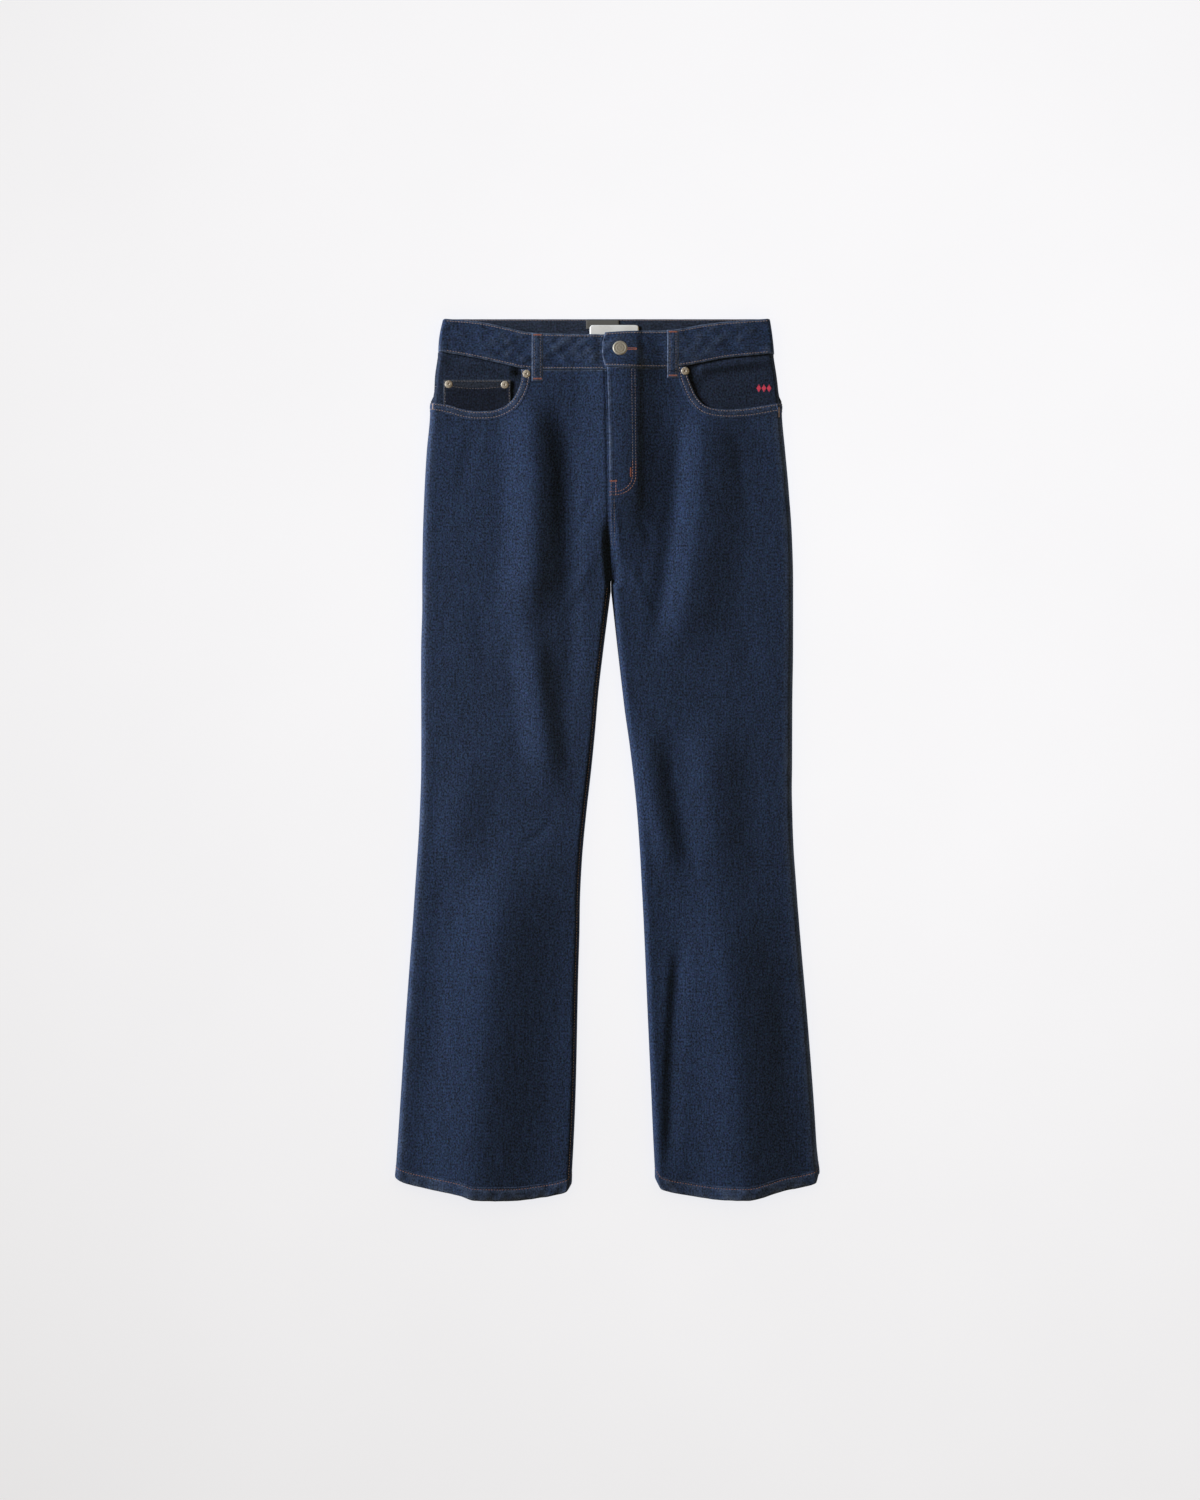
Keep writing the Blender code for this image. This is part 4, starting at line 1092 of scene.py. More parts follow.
def make_aged_metal():
    """Cast or pressed metal: fine grain, dark tarnish in patches and small scratches."""
    tree, given, result = new_group(
        "Aged metal",
        (("Place", "NodeSocketVector", None), ("Bright", "NodeSocketColor", None),
         ("Tarnish", "NodeSocketColor", None), ("Age", "NodeSocketFloat", 0.5)),
        (("Colour", "NodeSocketColor"), ("Roughness", "NodeSocketFloat"),
         ("Height", "NodeSocketFloat")))
    place = in_mm(tree, given["Place"])
    patches = noise(tree, place, 0.55, (1, 1, 1), 4.0)
    grain = noise(tree, place, 5.0, (1, 1, 1), 3.0)
    scratches = noise(tree, place, 1.0, (9, 0.6, 1), 2.0)
    aged = maths(tree, "MULTIPLY", ramp(tree, patches, 0.35, 0.7), given["Age"])
    colour = mix(tree, aged, given["Bright"], given["Tarnish"])
    rough = maths(tree, "ADD", ramp(tree, grain, 0.3, 0.7, 0.42, 0.58), maths(tree, "MULTIPLY", aged, 0.25))
    height = maths(tree, "ADD", maths(tree, "MULTIPLY", grain, 0.6), maths(tree, "MULTIPLY", scratches, 0.4))
    return give_results(tree, result, colour, rough, height)


def new_material(name):
    """A material with its shader, ready for nodes."""
    made = bpy.data.materials.new(name)
    made.use_nodes = True
    return made, made.node_tree, made.node_tree.nodes["Principled BSDF"]


def use_effect(tree, shader, effect, values, bump, bump_distance):
    """Place a shared effect in a material and feed its colour, roughness and height."""
    placed_effect = tree.nodes.new("ShaderNodeGroup")
    placed_effect.node_tree = effect
    for key, value in values.items():
        if isinstance(value, bpy.types.NodeSocket):
            tree.links.new(value, placed_effect.inputs[key])
        else:
            placed_effect.inputs[key].default_value = value
    relief = add(tree, "ShaderNodeBump", {"Height": placed_effect.outputs["Height"],
                                          "Strength": bump, "Distance": bump_distance * MM})
    tree.links.new(placed_effect.outputs["Colour"], shader.inputs["Base Color"])
    tree.links.new(placed_effect.outputs["Roughness"], shader.inputs["Roughness"])
    tree.links.new(relief.outputs[0], shader.inputs["Normal"])


def make_denim(name, warp, weft, weft_shown, bump=0.6):
    """Denim on a piece's own cloth coordinates, with its wear and painted light."""
    made, tree, shader = new_material(name)
    place = tree.nodes.new("ShaderNodeUVMap")
    place.uv_map = "cloth"
    wear_and_painted_light = add(tree, "ShaderNodeAttribute", attribute_name="wear_and_painted_light")
    use_effect(tree, shader, DENIM_WEAVE,
               {"Place": place.outputs[0], "Warp": (*warp, 1), "Weft": (*weft, 1),
                "Weft shown": weft_shown, "Wear and painted light": wear_and_painted_light.outputs["Fac"]}, bump, 0.12)
    shader.inputs["Specular IOR Level"].default_value = 0.06
    shader.inputs["Sheen Weight"].default_value = 0.04
    shader.inputs["Sheen Roughness"].default_value = 0.5
    shader.inputs["Sheen Tint"].default_value = (0.45, 0.6, 1.0, 1)
    return made


def make_thread(name, colour, shade):
    """Cotton thread: fibres twisted on a slant, darker here and there."""
    made, tree, shader = new_material(name)
    place = tree.nodes.new("ShaderNodeTexCoord").outputs["Object"]
    mm = in_mm(tree, place)
    fibres = noise(tree, mm, 3.0, (1, 1, 1), 3.0)
    tone_shift = noise(tree, mm, 0.12, (1, 1, 1), 2.0)
    share = maths(tree, "ADD", ramp(tree, fibres, 0.3, 0.7, 0, 0.6), ramp(tree, tone_shift, 0.35, 0.65, 0, 0.4))
    tree.links.new(mix(tree, share, (*colour, 1), (*shade, 1)), shader.inputs["Base Color"])
    relief = add(tree, "ShaderNodeBump", {"Height": fibres, "Strength": 0.5, "Distance": 0.15 * MM})
    tree.links.new(relief.outputs[0], shader.inputs["Normal"])
    tree.links.new(ramp(tree, fibres, 0.3, 0.7, 0.6, 0.8), shader.inputs["Roughness"])
    shader.inputs["Specular IOR Level"].default_value = 0.25
    return made


def make_metal(name, bright, tarnish, age, metallic):
    """Aged metal on object coordinates."""
    made, tree, shader = new_material(name)
    place = tree.nodes.new("ShaderNodeTexCoord").outputs["Object"]
    use_effect(tree, shader, AGED_METAL,
               {"Place": place, "Bright": (*bright, 1), "Tarnish": (*tarnish, 1), "Age": age}, 0.5, 0.05)
    shader.inputs["Metallic"].default_value = metallic
    return made


def make_satin():
    """White label satin: fine floats that run across the label."""
    made, tree, shader = new_material("label_satin")
    place = tree.nodes.new("ShaderNodeUVMap")
    place.uv_map = "cloth"
    mm = in_mm(tree, place.outputs[0])
    floats = noise(tree, mm, 1.0, (0.5, 5.0, 1), 2.0)
    weave = noise(tree, mm, 4.0, (1, 1, 1), 1.0)
    height = maths(tree, "ADD", floats, maths(tree, "MULTIPLY", weave, 0.5))
    tree.links.new(mix(tree, floats, (0.370, 0.378, 0.388, 1), (0.465, 0.475, 0.485, 1)),
                   shader.inputs["Base Color"])
    relief = add(tree, "ShaderNodeBump", {"Height": height, "Strength": 0.4, "Distance": 0.1 * MM})
    tree.links.new(relief.outputs[0], shader.inputs["Normal"])
    tree.links.new(ramp(tree, weave, 0.3, 0.7, 0.42, 0.56), shader.inputs["Roughness"])
    return made


def make_ribbed_cloth(name, dark, light):
    """A tight cross rib, for the zip tape and the dark strip at the waist."""
    made, tree, shader = new_material(name)
    place = tree.nodes.new("ShaderNodeTexCoord").outputs["Object"]
    mm = in_mm(tree, place)
    rib = noise(tree, mm, 1.0, (0.7, 3.4, 1), 2.0)
    tree.links.new(mix(tree, rib, (*dark, 1), (*light, 1)), shader.inputs["Base Color"])
    relief = add(tree, "ShaderNodeBump", {"Height": rib, "Strength": 0.5, "Distance": 0.12 * MM})
    tree.links.new(relief.outputs[0], shader.inputs["Normal"])
    tree.links.new(ramp(tree, rib, 0.3, 0.7, 0.7, 0.85), shader.inputs["Roughness"])
    return made


def make_plaster():
    """The pale floor: even, with faint clouds."""
    made, tree, shader = new_material("pale_floor")
    place = tree.nodes.new("ShaderNodeTexCoord").outputs["Object"]
    clouds = add(tree, "ShaderNodeTexNoise", {"Vector": place, "Scale": 3.2, "Detail": 4.0}).outputs[0]
    tree.links.new(mix(tree, clouds, (0.86, 0.86, 0.86, 1), (0.90, 0.90, 0.90, 1)),
                   shader.inputs["Base Color"])
    tree.links.new(ramp(tree, clouds, 0.3, 0.7, 0.85, 0.95), shader.inputs["Roughness"])
    shader.inputs["Specular IOR Level"].default_value = 0.1
    return made


# ---------------------------------------------------------------- front panels

def mouth_line(side, step=2.0):
    """The pocket mouth's edge, from the waist seam to the side seam, as (x, down) places."""
    return along_line(POCKET_MOUTH[side], step)


def past_mouth(side):
    """How far a place is below the mouth's edge, as a function of x and down."""
    line = mouth_line(side, 3.0)
    first = line[0] + (line[0] - line[1]) * 20
    last = line[-1] + (line[-1] - line[-2]) * 20
    line = np.vstack((first, line, last))
    turn = -SIDES[side]
    return lambda x, down: turn * signed_distance(line, x, down)


def make_front(side):
    """A front leg panel, cut short under the mouth's and the hem's turned edges."""
    rows = np.concatenate((spaced(PANEL_TOP, 66, NEAR_SEAM_STEP), spaced(66, 940, PANEL_STEP)[1:],
                           spaced(940, HEM_EDGE - 1.5, NEAR_SEAM_STEP)[1:]))
    below = past_mouth(side)
    points = front_panel(side, rows)

    # Paler cloth: wear along the seams and the hem, painted light on the left seam's shaded edge, and lighter
    # thighs and left hip.
    def tone_shift(x, down):
        from_outer = SIDES[side] * (seam(side + "_outer", straight_row(side, x, down)) - x)
        by_seam = SEAM_WEAR_AND_PAINTED_LIGHT[side] * (1 - smoothstep(1, 15, from_outer)) * (0.8 + 0.4 * uneven(x, down, 30, 6))
        thigh = THIGH_LIGHTENING[side] * np.exp(-((down - 430) / 210) ** 2)
        hip = 0.03 * np.exp(-((np.abs(x) - 185) / 28) ** 2 - ((down - 118) / 24) ** 2) * (side == "left")
        to_hem = through(HEM[side], x) - down
        hem = 0.03 * np.clip(uneven(x + 0.8 * down, down * 0.3, 14, 63), 0, 1.2)
        return by_seam + thigh + hip + hem * (1 - smoothstep(TURN_UP - 1, TURN_UP, to_hem))

    return cloth_piece("cloth_front_" + side, points, CLOTH, (DENIM, DENIM_INSIDE),
                       ["front_" + side], edges=["top"],
                       keep=lambda x, down: below(x, down) - OVERLAP, wear_and_painted_light=tone_shift)


SEAM_SECTION = (
    # distance in from the edge, level, wear
    (11.4, -0.12, 0.0), (10.2, 0.14, 0.1), (9.0, 0.34, 0.35), (8.2, 0.30, 0.2), (7.6, 0.10, 0.0),
    (7.0, 0.32, 0.25), (5.6, 0.48, 0.3), (4.0, 0.50, 0.3), (2.6, 0.40, 0.3), (1.8, 0.12, 0.1),
    (1.1, 0.34, 0.6), (0.5, 0.20, 1.0), (0.1, -0.15, 1.0), (0.0, -0.6, 0.6), (0.25, -1.1, 0.2),
    (1.4, -1.45, 0.0), (11.0, -1.4, 0.0),
)
# Distance in from the edge, level, and wear that also paints the highlight along the fold's crest.
FLY_SECTION = (
    (6.0, -0.12, 0.0), (4.2, 0.08, 0.1), (2.6, 0.20, 0.2), (1.5, 0.22, 0.35), (0.5, 0.08, 0.8),
    (-0.3, -0.2, 0.8), (-0.6, -0.6, 0.6), (-0.4, -1.0, 0.2), (0.4, -1.35, 0.0), (6.0, -1.3, 0.0),
)


def turned_edge(name, side, line, turn, section, pucker, rubbed_and_painted_light):
    """The doubled edge of a panel, with its seam allowance and the dips of its sewing."""
    section = np.asarray(section, float)
    into = inward(line, turn)
    distance = np.hypot(*np.diff(line, axis=0).T)
    along = np.concatenate(([0], np.cumsum(distance)))
    x = line[:, :1] + into[:, :1] * section[:, 0]
    down = line[:, 1:] + into[:, 1:] * section[:, 0]
    rows = straight_row(side, x, down)
    outer = seam(side + "_outer", rows) - SIDES[side] * 0.03
    x = np.maximum(x, outer) if side == "right" else np.minimum(x, outer)
    ripple = uneven(along, 0 * along, 11.0, 31)[:, None] + 0.6 * uneven(along, 0 * along, 27.0, 12)[:, None]
    raised = np.clip(section[:, 1], 0, None) * pucker * ripple
    level = section[:, 1] + raised
    points, _ = placed(lambda a, b: front_surface(side, a, b), x, down, level)
    wear_and_painted_light = np.clip(section[:, 2] * (0.75 + 0.5 * ripple) * rubbed_and_painted_light(down), 0, 1)
    flat = np.stack([x, HALF_LENGTH - down], axis=-1)
    return swept(name, points, flat, wear_and_painted_light, [DENIM])


def make_mouth_edge(side):
    """The turned and twice-stitched edge of a pocket mouth."""
    line = mouth_line(side, 1.2)
    start = through(WAIST_SEAM[side], line[:, 0]) + GAP
    line = line[line[:, 1] > start + 0.2]
    outline = seam(side + "_outer", straight_row(side, line[-1, 0], line[-1, 1]))
    last = np.array([float(outline), line[-1, 1]])
    near_end = np.abs(line[:, 0] - last[0]) < EDGE_ROLL
    kept = line[~near_end]
    angles = np.linspace(math.pi / 2, 0, 10)
    roll_in = EDGE_ROLL * (1 - np.cos(angles))
    slope = (line[-1, 1] - kept[-1, 1]) / max(abs(last[0] - kept[-1, 0]), 1e-6)
    end_x = last[0] - SIDES[side] * roll_in
    end_down = kept[-1, 1] + slope * np.abs(end_x - kept[-1, 0])
    line = np.vstack((kept, np.stack([end_x, end_down], axis=1)))
    rubbed_and_painted_light = lambda down: 0.75
    return turned_edge("cloth_mouth_edge_" + side, side, line, SIDES[side], SEAM_SECTION, 0.35, rubbed_and_painted_light)


def make_fly_edge():
    """The folded edge of the left front, which laps over the right at the fly and below it."""
    down = spaced(56.5, CROTCH - 1, 1.6)
    x = seam("left_inner", down) + GAP / 2
    # Its wear also paints a highlight along the crest, fading out below the fly.
    rubbed_and_painted_light = lambda down: 1 - smoothstep(FLY_END - 45, FLY_END + 12, down)
    return turned_edge("cloth_fly_edge", "left", np.stack([x, down], axis=1), -1, FLY_SECTION, 0.25, rubbed_and_painted_light)


def make_facing(side):
    """The cloth seen in a pocket mouth. It reaches the side seam and lies under the panel."""
    rows = spaced(PANEL_TOP - 3.2, FACING_END, PANEL_STEP)
    outer = (seam(side + "_outer", rows) - SIDES[side] * through(FACING_DRAWN_IN, rows))[:, None]
    roll = np.tile(roll_distances(EDGE_ROLL, np.ones(1)), (len(rows), 1))
    width = np.abs(outer) - FACING_INNER
    flat = EDGE_ROLL + (width - EDGE_ROLL) * spaced(0, 1, PANEL_STEP / 110)[1:]
    across = np.hstack((roll, flat))
    x = outer - SIDES[side] * across
    down = shaped_rows(side, rows[:, None], x)
    low = back_top(down) + RIM_GAP
    height = front_height(x, down) + facing_relief(side, x, down)
    points = grid(x, down, low + (height - low) * rolled(across, EDGE_ROLL))
    points = left_to_right(side, points)
    to_seam = down - through(WAIST_SEAM[side], x)
    sunk = smoothstep(*FACING_SINKS, to_seam)
    under_panel = 1 - smoothstep(*FACING_CLEARS, np.abs(x))
    under_band = 0.75 * (1 - smoothstep(0.2, 3, to_seam))
    level = FACING_LEVEL[side] * np.maximum(np.maximum(sunk, under_panel), under_band)
    inside = points + facing_directions(points) * left_to_right(side, level)[..., None]
    inside[..., 1] = points[..., 1]
    rim = 0 if side == "right" else -1
    inside[:, rim, 2] = points[:, rim, 2]
    # The facing's darker denim is partly painted shade.
    return cloth_piece("cloth_facing_" + side, inside, CLOTH, (POCKET_DENIM_UNFADED_AND_SHADED, DENIM_INSIDE),
                       ["facing_" + side], edges=["top", "bottom"])


def plan_patch(x_range, down_range, step, level):
    """A patch that follows the front, set at a level below it."""
    x = spaced(x_range[0], x_range[1], step)[None, :]
    down = spaced(down_range[0], down_range[1], step)[:, None]
    points, normals = placed(front_height, *np.broadcast_arrays(x, down))
    return points + normals * level


def make_coin_pocket():
    """The small pocket on the right facing, which runs down under the panel."""
    points = plan_patch(COIN_X, COIN_DOWN, 2.6, COIN_LEVEL)
    turned_top = lambda x, down: 0.28 * (1 - smoothstep(COIN_DOWN[0] + 9, COIN_DOWN[0] + 11, down))
    # The coin pocket's dark denim is painted shade.
    return cloth_piece("cloth_coin_pocket", points, CLOTH, (COIN_DENIM_PAINTED_SHADE,), ["coin_pocket"],
                       edges=["top", "bottom", "first", "last"], wear_and_painted_light=turned_top)


def make_fly():
    """The zip tape and the shield behind the closed fly."""
    tape = plan_patch(ZIP_X, ZIP_DOWN, 4.0, -LAYER)
    cloth_piece("cloth_zip_tape", tape, CLOTH, (ZIP_TAPE,), ["zip"],
                edges=["first", "last"])
    shield = plan_patch(SHIELD_X, SHIELD_DOWN, 4.0, -2 * LAYER)
    cloth_piece("cloth_fly_shield", shield, CLOTH, (DENIM,), ["fly_shield"],
                edges=["top", "bottom", "first", "last"])


# ---------------------------------------------------------------- waistband and loops

def turned_places(points):
    """Cloth coordinates of a piece cut with its warp along the waist."""
    return unrolled(points)[..., ::-1]


def band_wear(x, down):
    """Pale patches where the waistband creases and rubs."""
    rubs = band_creases(x, down) * 1.2 + 0.5 * uneven(x, down, 11, 33) + 0.4 * uneven(x, down, 19, 34)
    return 0.30 * smoothstep(-0.1, 1.5, rubs)


def make_front_band(side):
    """Half of the front waistband, rolled at the side seam and lapped at the button."""
    rows = spaced(0, 1, BAND_STEP / BAND_HEIGHT)[:, None]
    outer_top = BAND_EDGE["right"][0][0] if side == "right" else BAND_EDGE["left"][-1][0]
    outer_seam = WAIST_SEAM["right"][0][0] if side == "right" else WAIST_SEAM["left"][-1][0]
    outer = outer_top + (outer_seam - outer_top) * rows
    outer = outer + SIDES[side] * BAND_SWELL[side] * (0.4 + 0.6 * np.sin(math.pi * rows))
    if side == "right":
        end = np.full_like(outer, UNDERLAP)
    else:
        end = BAND_EDGE["left"][0][0] - END_BULGE * np.sin(math.pi * rows)
    width = np.abs(end - outer)
    roll = roll_distances(BAND_ROLL, np.ones(1))
    share = spaced(0, 1, BAND_STEP / 190)[1:]
    across = np.hstack((np.tile(roll, (len(rows), 1)), roll[0, -1] + (width - roll[0, -1]) * share))
    x = outer - SIDES[side] * across
    down = band_line(side, x, rows)
    low = SEAT_LIFT + BAND_CLOTH + RIM_GAP
    points = grid(x, down, low + (band_surface(side, x, down) - low) * rolled(across, BAND_ROLL))
    points = left_to_right(side, points)
    edges = ["top", "bottom"] + (["first"] if side == "left" else [])
    return cloth_piece("cloth_waistband_" + side, points, BAND_CLOTH, (DENIM,),
                       ["waistband_" + side], edges=edges,
                       places=turned_places, wear_and_painted_light=band_wear)


def make_back_band():
    """The back of the waistband, flat, with its inner face up."""
    left, right = BAND_EDGE["left"][-1][0], BAND_EDGE["right"][0][0]
    low_left, low_right = WAIST_SEAM["left"][-1][0], WAIST_SEAM["right"][0][0]
    rows = spaced(0, BAND_HEIGHT, 3)[:, None]
    share = rows / BAND_HEIGHT
    first = right + (low_right - right) * share
    last = left + (low_left - left) * share
    x = first + (last - first) * spaced(0, 1, 4 / 370)
    puff = 0.25 * uneven(x, rows * 0.5, 22, 4) * smoothstep(0, 6, rows)
    points = grid(x, rows, SEAT_LIFT + BAND_CLOTH + puff)
    return cloth_piece("cloth_waistband_back", points, BAND_CLOTH, (DENIM_INSIDE, DENIM),
                       ["waistband_back"],
                       edges=["top", "bottom", "first", "last"], places=turned_places)


def loop_surface(side):
    """Height of a front belt loop's outer face, as a function of x and down."""
    centre = LOOP_X[side]
    start = float(through(BAND_EDGE[side], centre)) + GAP

    def height(x, down):
        seam_down = through(WAIST_SEAM[side], x)
        step_off = 1 - smoothstep(seam_down + LOOP_STEP[0], seam_down + LOOP_STEP[1], down)
        under = front_height(x, down) + (BAND_CLOTH - CLOTH) * step_off
        arch = LOOP_ARCH * np.sin(math.pi * np.clip((down - start) / LOOP_LENGTH, 0, 1)) ** 2
        from_middle = np.abs(x - centre) / (LOOP_WIDTH / 2)
        relief = 0.15 * np.cos(math.pi * np.clip(from_middle, 0, 1) * 1.5) + 0.12 * uneven(x, down, 7, 40)
        relief = relief - 0.4 * smoothstep(0.65, 1.05, from_middle)
        return under + 2 * GAP + LOOP_CLOTH + arch + relief

    return height, start


def loop_wear(x, down):
    """Belt loops rub pale, most of all along their folded sides."""
    centre = np.where(x < 0, LOOP_X["right"], LOOP_X["left"])
    from_middle = np.abs(x - centre) / (LOOP_WIDTH / 2)
    return 0.14 + 0.3 * smoothstep(0.55, 0.95, from_middle) + 0.1 * uneven(x, down, 8, 44)


def make_front_loop(side):
    """A belt loop: tacked at the waist edge and below the waist seam, standing off between."""
    height, start = loop_surface(side)
    down = (start + spaced(0, LOOP_LENGTH, 1.5))[:, None]
    x = LOOP_X[side] + LOOP_WIDTH * np.linspace(-0.5, 0.5, 11)[None, :]
    x, down = np.broadcast_arrays(x, down)
    return cloth_piece("cloth_loop_front_" + side, grid(x, down, height(x, down)), LOOP_CLOTH, (DENIM,),
                       ["loop_front_" + side],
                       edges=["top", "bottom", "first", "last"], wear_and_painted_light=loop_wear)


def make_back_loops():
    """Three belt loops flat under the back waistband."""
    for place, centre in BACK_LOOP_X.items():
        x = centre + LOOP_WIDTH * np.linspace(-0.5, 0.5, 9)[None, :]
        down = spaced(0, LOOP_LENGTH, 2.0)[:, None]
        cloth_piece("cloth_loop_back_" + place, grid(x, down, CLOTH), CLOTH, (DENIM,),
                    ["loop_back_" + place], edges=["top", "bottom", "first", "last"])


# ---------------------------------------------------------------- back

def make_back(side):
    """A back leg panel and the yoke over it. Their inner faces are up."""
    rows = spaced(BAND_HEIGHT + GAP, BAND_HEIGHT + YOKE_SIDE, BACK_STEP)
    points = back_sheet(side, rows, lambda x: np.full_like(x, rows[0]), yoke_seam)
    cloth_piece("cloth_yoke_" + side, points, CLOTH, (DENIM_INSIDE, DENIM),
                ["yoke_" + side])
    start = BAND_HEIGHT + YOKE_SIDE + GAP
    rows = np.concatenate((spaced(start, CROTCH, BACK_STEP), spaced(CROTCH, HEM_EDGE - 1.5, BACK_STEP)[1:]))
    points = back_sheet(side, rows, lambda x: yoke_seam(x) + GAP,
                        lambda x: through(HEM[side], x) - 1.5)
    cloth_piece("cloth_back_" + side, points, CLOTH, (DENIM_INSIDE, DENIM),
                ["back_" + side])


def pocket_outline(side, inset=0.0):
    """The back pocket's outline, clockwise from its top corner at -X, drawn in by an inset."""
    centre = SIDES[side] * BACK_POCKET_CENTRE
    half = BACK_POCKET_WIDTH / 2 - inset
    low = BACK_POCKET_TOP + BACK_POCKET_HEIGHT - inset
    low_half = BACK_POCKET_WIDTH / 2 - BACK_POCKET_TAPER - inset
    top = BACK_POCKET_TOP + inset * 0.5
    return [(centre - half, top), (centre - low_half, low - BACK_POCKET_POINT), (centre, low),
            (centre + low_half, low - BACK_POCKET_POINT), (centre + half, top)]


def make_back_pocket(side):
    """A patch pocket, flat on the ground under the back panel."""
    rows = spaced(0, 1, 1 / 30)[:, None]
    columns = spaced(-1, 1, 2 / 30)[None, :]
    centre = SIDES[side] * BACK_POCKET_CENTRE
    point = BACK_POCKET_POINT * (1 - np.abs(columns))
    height = BACK_POCKET_HEIGHT - BACK_POCKET_POINT + point
    down = BACK_POCKET_TOP + height * rows
    half = BACK_POCKET_WIDTH / 2 - BACK_POCKET_TAPER * rows
    x = centre + half * columns
    cloth_piece("cloth_back_pocket_" + side, grid(x, down, CLOTH), CLOTH, (DENIM_INSIDE, DENIM),
                ["back_pocket_" + side], edges=["top", "bottom", "first", "last"])


# ---------------------------------------------------------------- hems

HEM_SECTION = (
    # height above the hem edge, level, wear
    (15.6, -0.12, 0.0), (14.6, 0.16, 0.2), (13.7, 0.30, 0.3), (13.0, 0.08, 0.0), (12.3, 0.34, 0.3),
    (10.0, 0.50, 0.25), (7.0, 0.52, 0.2), (4.0, 0.48, 0.35), (2.0, 0.36, 0.6), (0.8, 0.05, 1.0),
    (0.1, -0.6, 1.0), (0.0, -1.3, 0.9), (0.2, -2.0, 0.6), (0.9, -2.55, 0.2), (2.2, -2.75, 0.0),
    (8.0, -2.75, 0.0), (13.0, -2.72, 0.2), (13.4, -2.2, 0.2), (13.0, -1.6, 0.0),
)


def make_hem(side):
    """The turned-up hem of a leg: doubled cloth round the whole opening, roped by its sewing."""
    section = np.asarray(HEM_SECTION, float)
    heights = spaced(0, 17, 1.7)[::-1]
    rows = HEM_EDGE - heights
    front = front_panel(side, rows)
    front_out = facing_directions(front)
    inner_x = front[:, -1, 0]
    outer_x = front[:, 0, 0]
    share = spaced(0, 1, PANEL_STEP / 195)
    back_x = inner_x[:, None] + (outer_x - inner_x)[:, None] * share
    back_down = rows[:, None] + through(HEM[side], back_x) - HEM_EDGE
    back = grid(back_x, back_down, 0.0)
    back_out = np.zeros_like(back)
    back_out[..., 2] = -1
    back_out[:, 0] = (0.7, 0, -0.7)
    back_out[:, -1] = (-0.7, 0, -0.7)
    ring = np.concatenate((front, back), axis=1)
    out = np.concatenate((front_out, back_out), axis=1)
    raised = np.concatenate((np.ones(front.shape[1]), np.zeros(back.shape[1])))
    steps = np.linalg.norm(np.diff(ring[-1], axis=0), axis=1)
    along = np.concatenate(([0], np.cumsum(steps)))
    sections = []
    flats = []
    wears = []
    for column in range(ring.shape[1]):
        h = section[:, 0]
        # Roping: the twist of a turned hem shows as slanting ridges.
        slant = along[column] + h * 0.9
        rope = uneven(slant, 0 * slant, 11.0, 17) + 0.5 * uneven(slant, 0 * slant, 5.5, 9)
        level = np.where(section[:, 1] > 0, section[:, 1] * (1 + 0.45 * rope) * raised[column], section[:, 1])
        place = np.stack([np.interp(h, heights[::-1], ring[::-1, column, i]) for i in range(3)], axis=1)
        facing = np.stack([np.interp(h, heights[::-1], out[::-1, column, i]) for i in range(3)], axis=1)
        sections.append(place + facing * level[:, None])
        flats.append(np.stack([np.full(len(h), along[column]), place[:, 1]], axis=1))
        wears.append(np.clip(section[:, 2] * (0.8 + 0.5 * rope), 0, 1))
    piece = swept("cloth_hem_" + side, np.array(sections), np.array(flats), np.array(wears),
                  [DENIM], closed=True, replaced=["hem_" + side])
    return piece


# ---------------------------------------------------------------- label, button and rivets

def make_label():
    """The white woven label on the back waistband, blank."""
    radius = 3.5
    x = spaced(LABEL_X[0], LABEL_X[1], 1.6)[None, :]
    down = spaced(LABEL_DOWN[0], LABEL_DOWN[1], 1.6)[:, None]
    x, down = np.broadcast_arrays(x, down)
    low = SEAT_LIFT + BAND_CLOTH + GAP
    z = low + LABEL_CLOTH + 0.12 * uneven(x, down, 26, 2)

    def keep(at_x, at_down):
        middle_x, middle_down = np.mean(LABEL_X), np.mean(LABEL_DOWN)
        dx = np.abs(at_x - middle_x) - (np.ptp(LABEL_X) / 2 - radius)
        dd = np.abs(at_down - middle_down) - (np.ptp(LABEL_DOWN) / 2 - radius)
        return radius - np.hypot(np.maximum(dx, 0), np.maximum(dd, 0)) + 1e-4

    return cloth_piece("cloth_label", grid(x, down, z), LABEL_CLOTH, (LABEL_SATIN,),
                       ["label"], keep=keep)


def make_waist_strip():
    """A short dark grey strip along the waist edge above the label."""
    x = spaced(STRIP_X[0], STRIP_X[1], 2.0)[None, :]
    down = spaced(STRIP_DOWN[0], STRIP_DOWN[1], 1.0)[:, None]
    x, down = np.broadcast_arrays(x, down)
    z = SEAT_LIFT + BAND_CLOTH + 0.3 + 0.3 * (1 - smoothstep(4.5, 6.8, down))
    return cloth_piece("cloth_waist_strip", grid(x, down, z), 0.5, (STRIP_CLOTH,), (),
                       edges=["top", "bottom", "first", "last"])


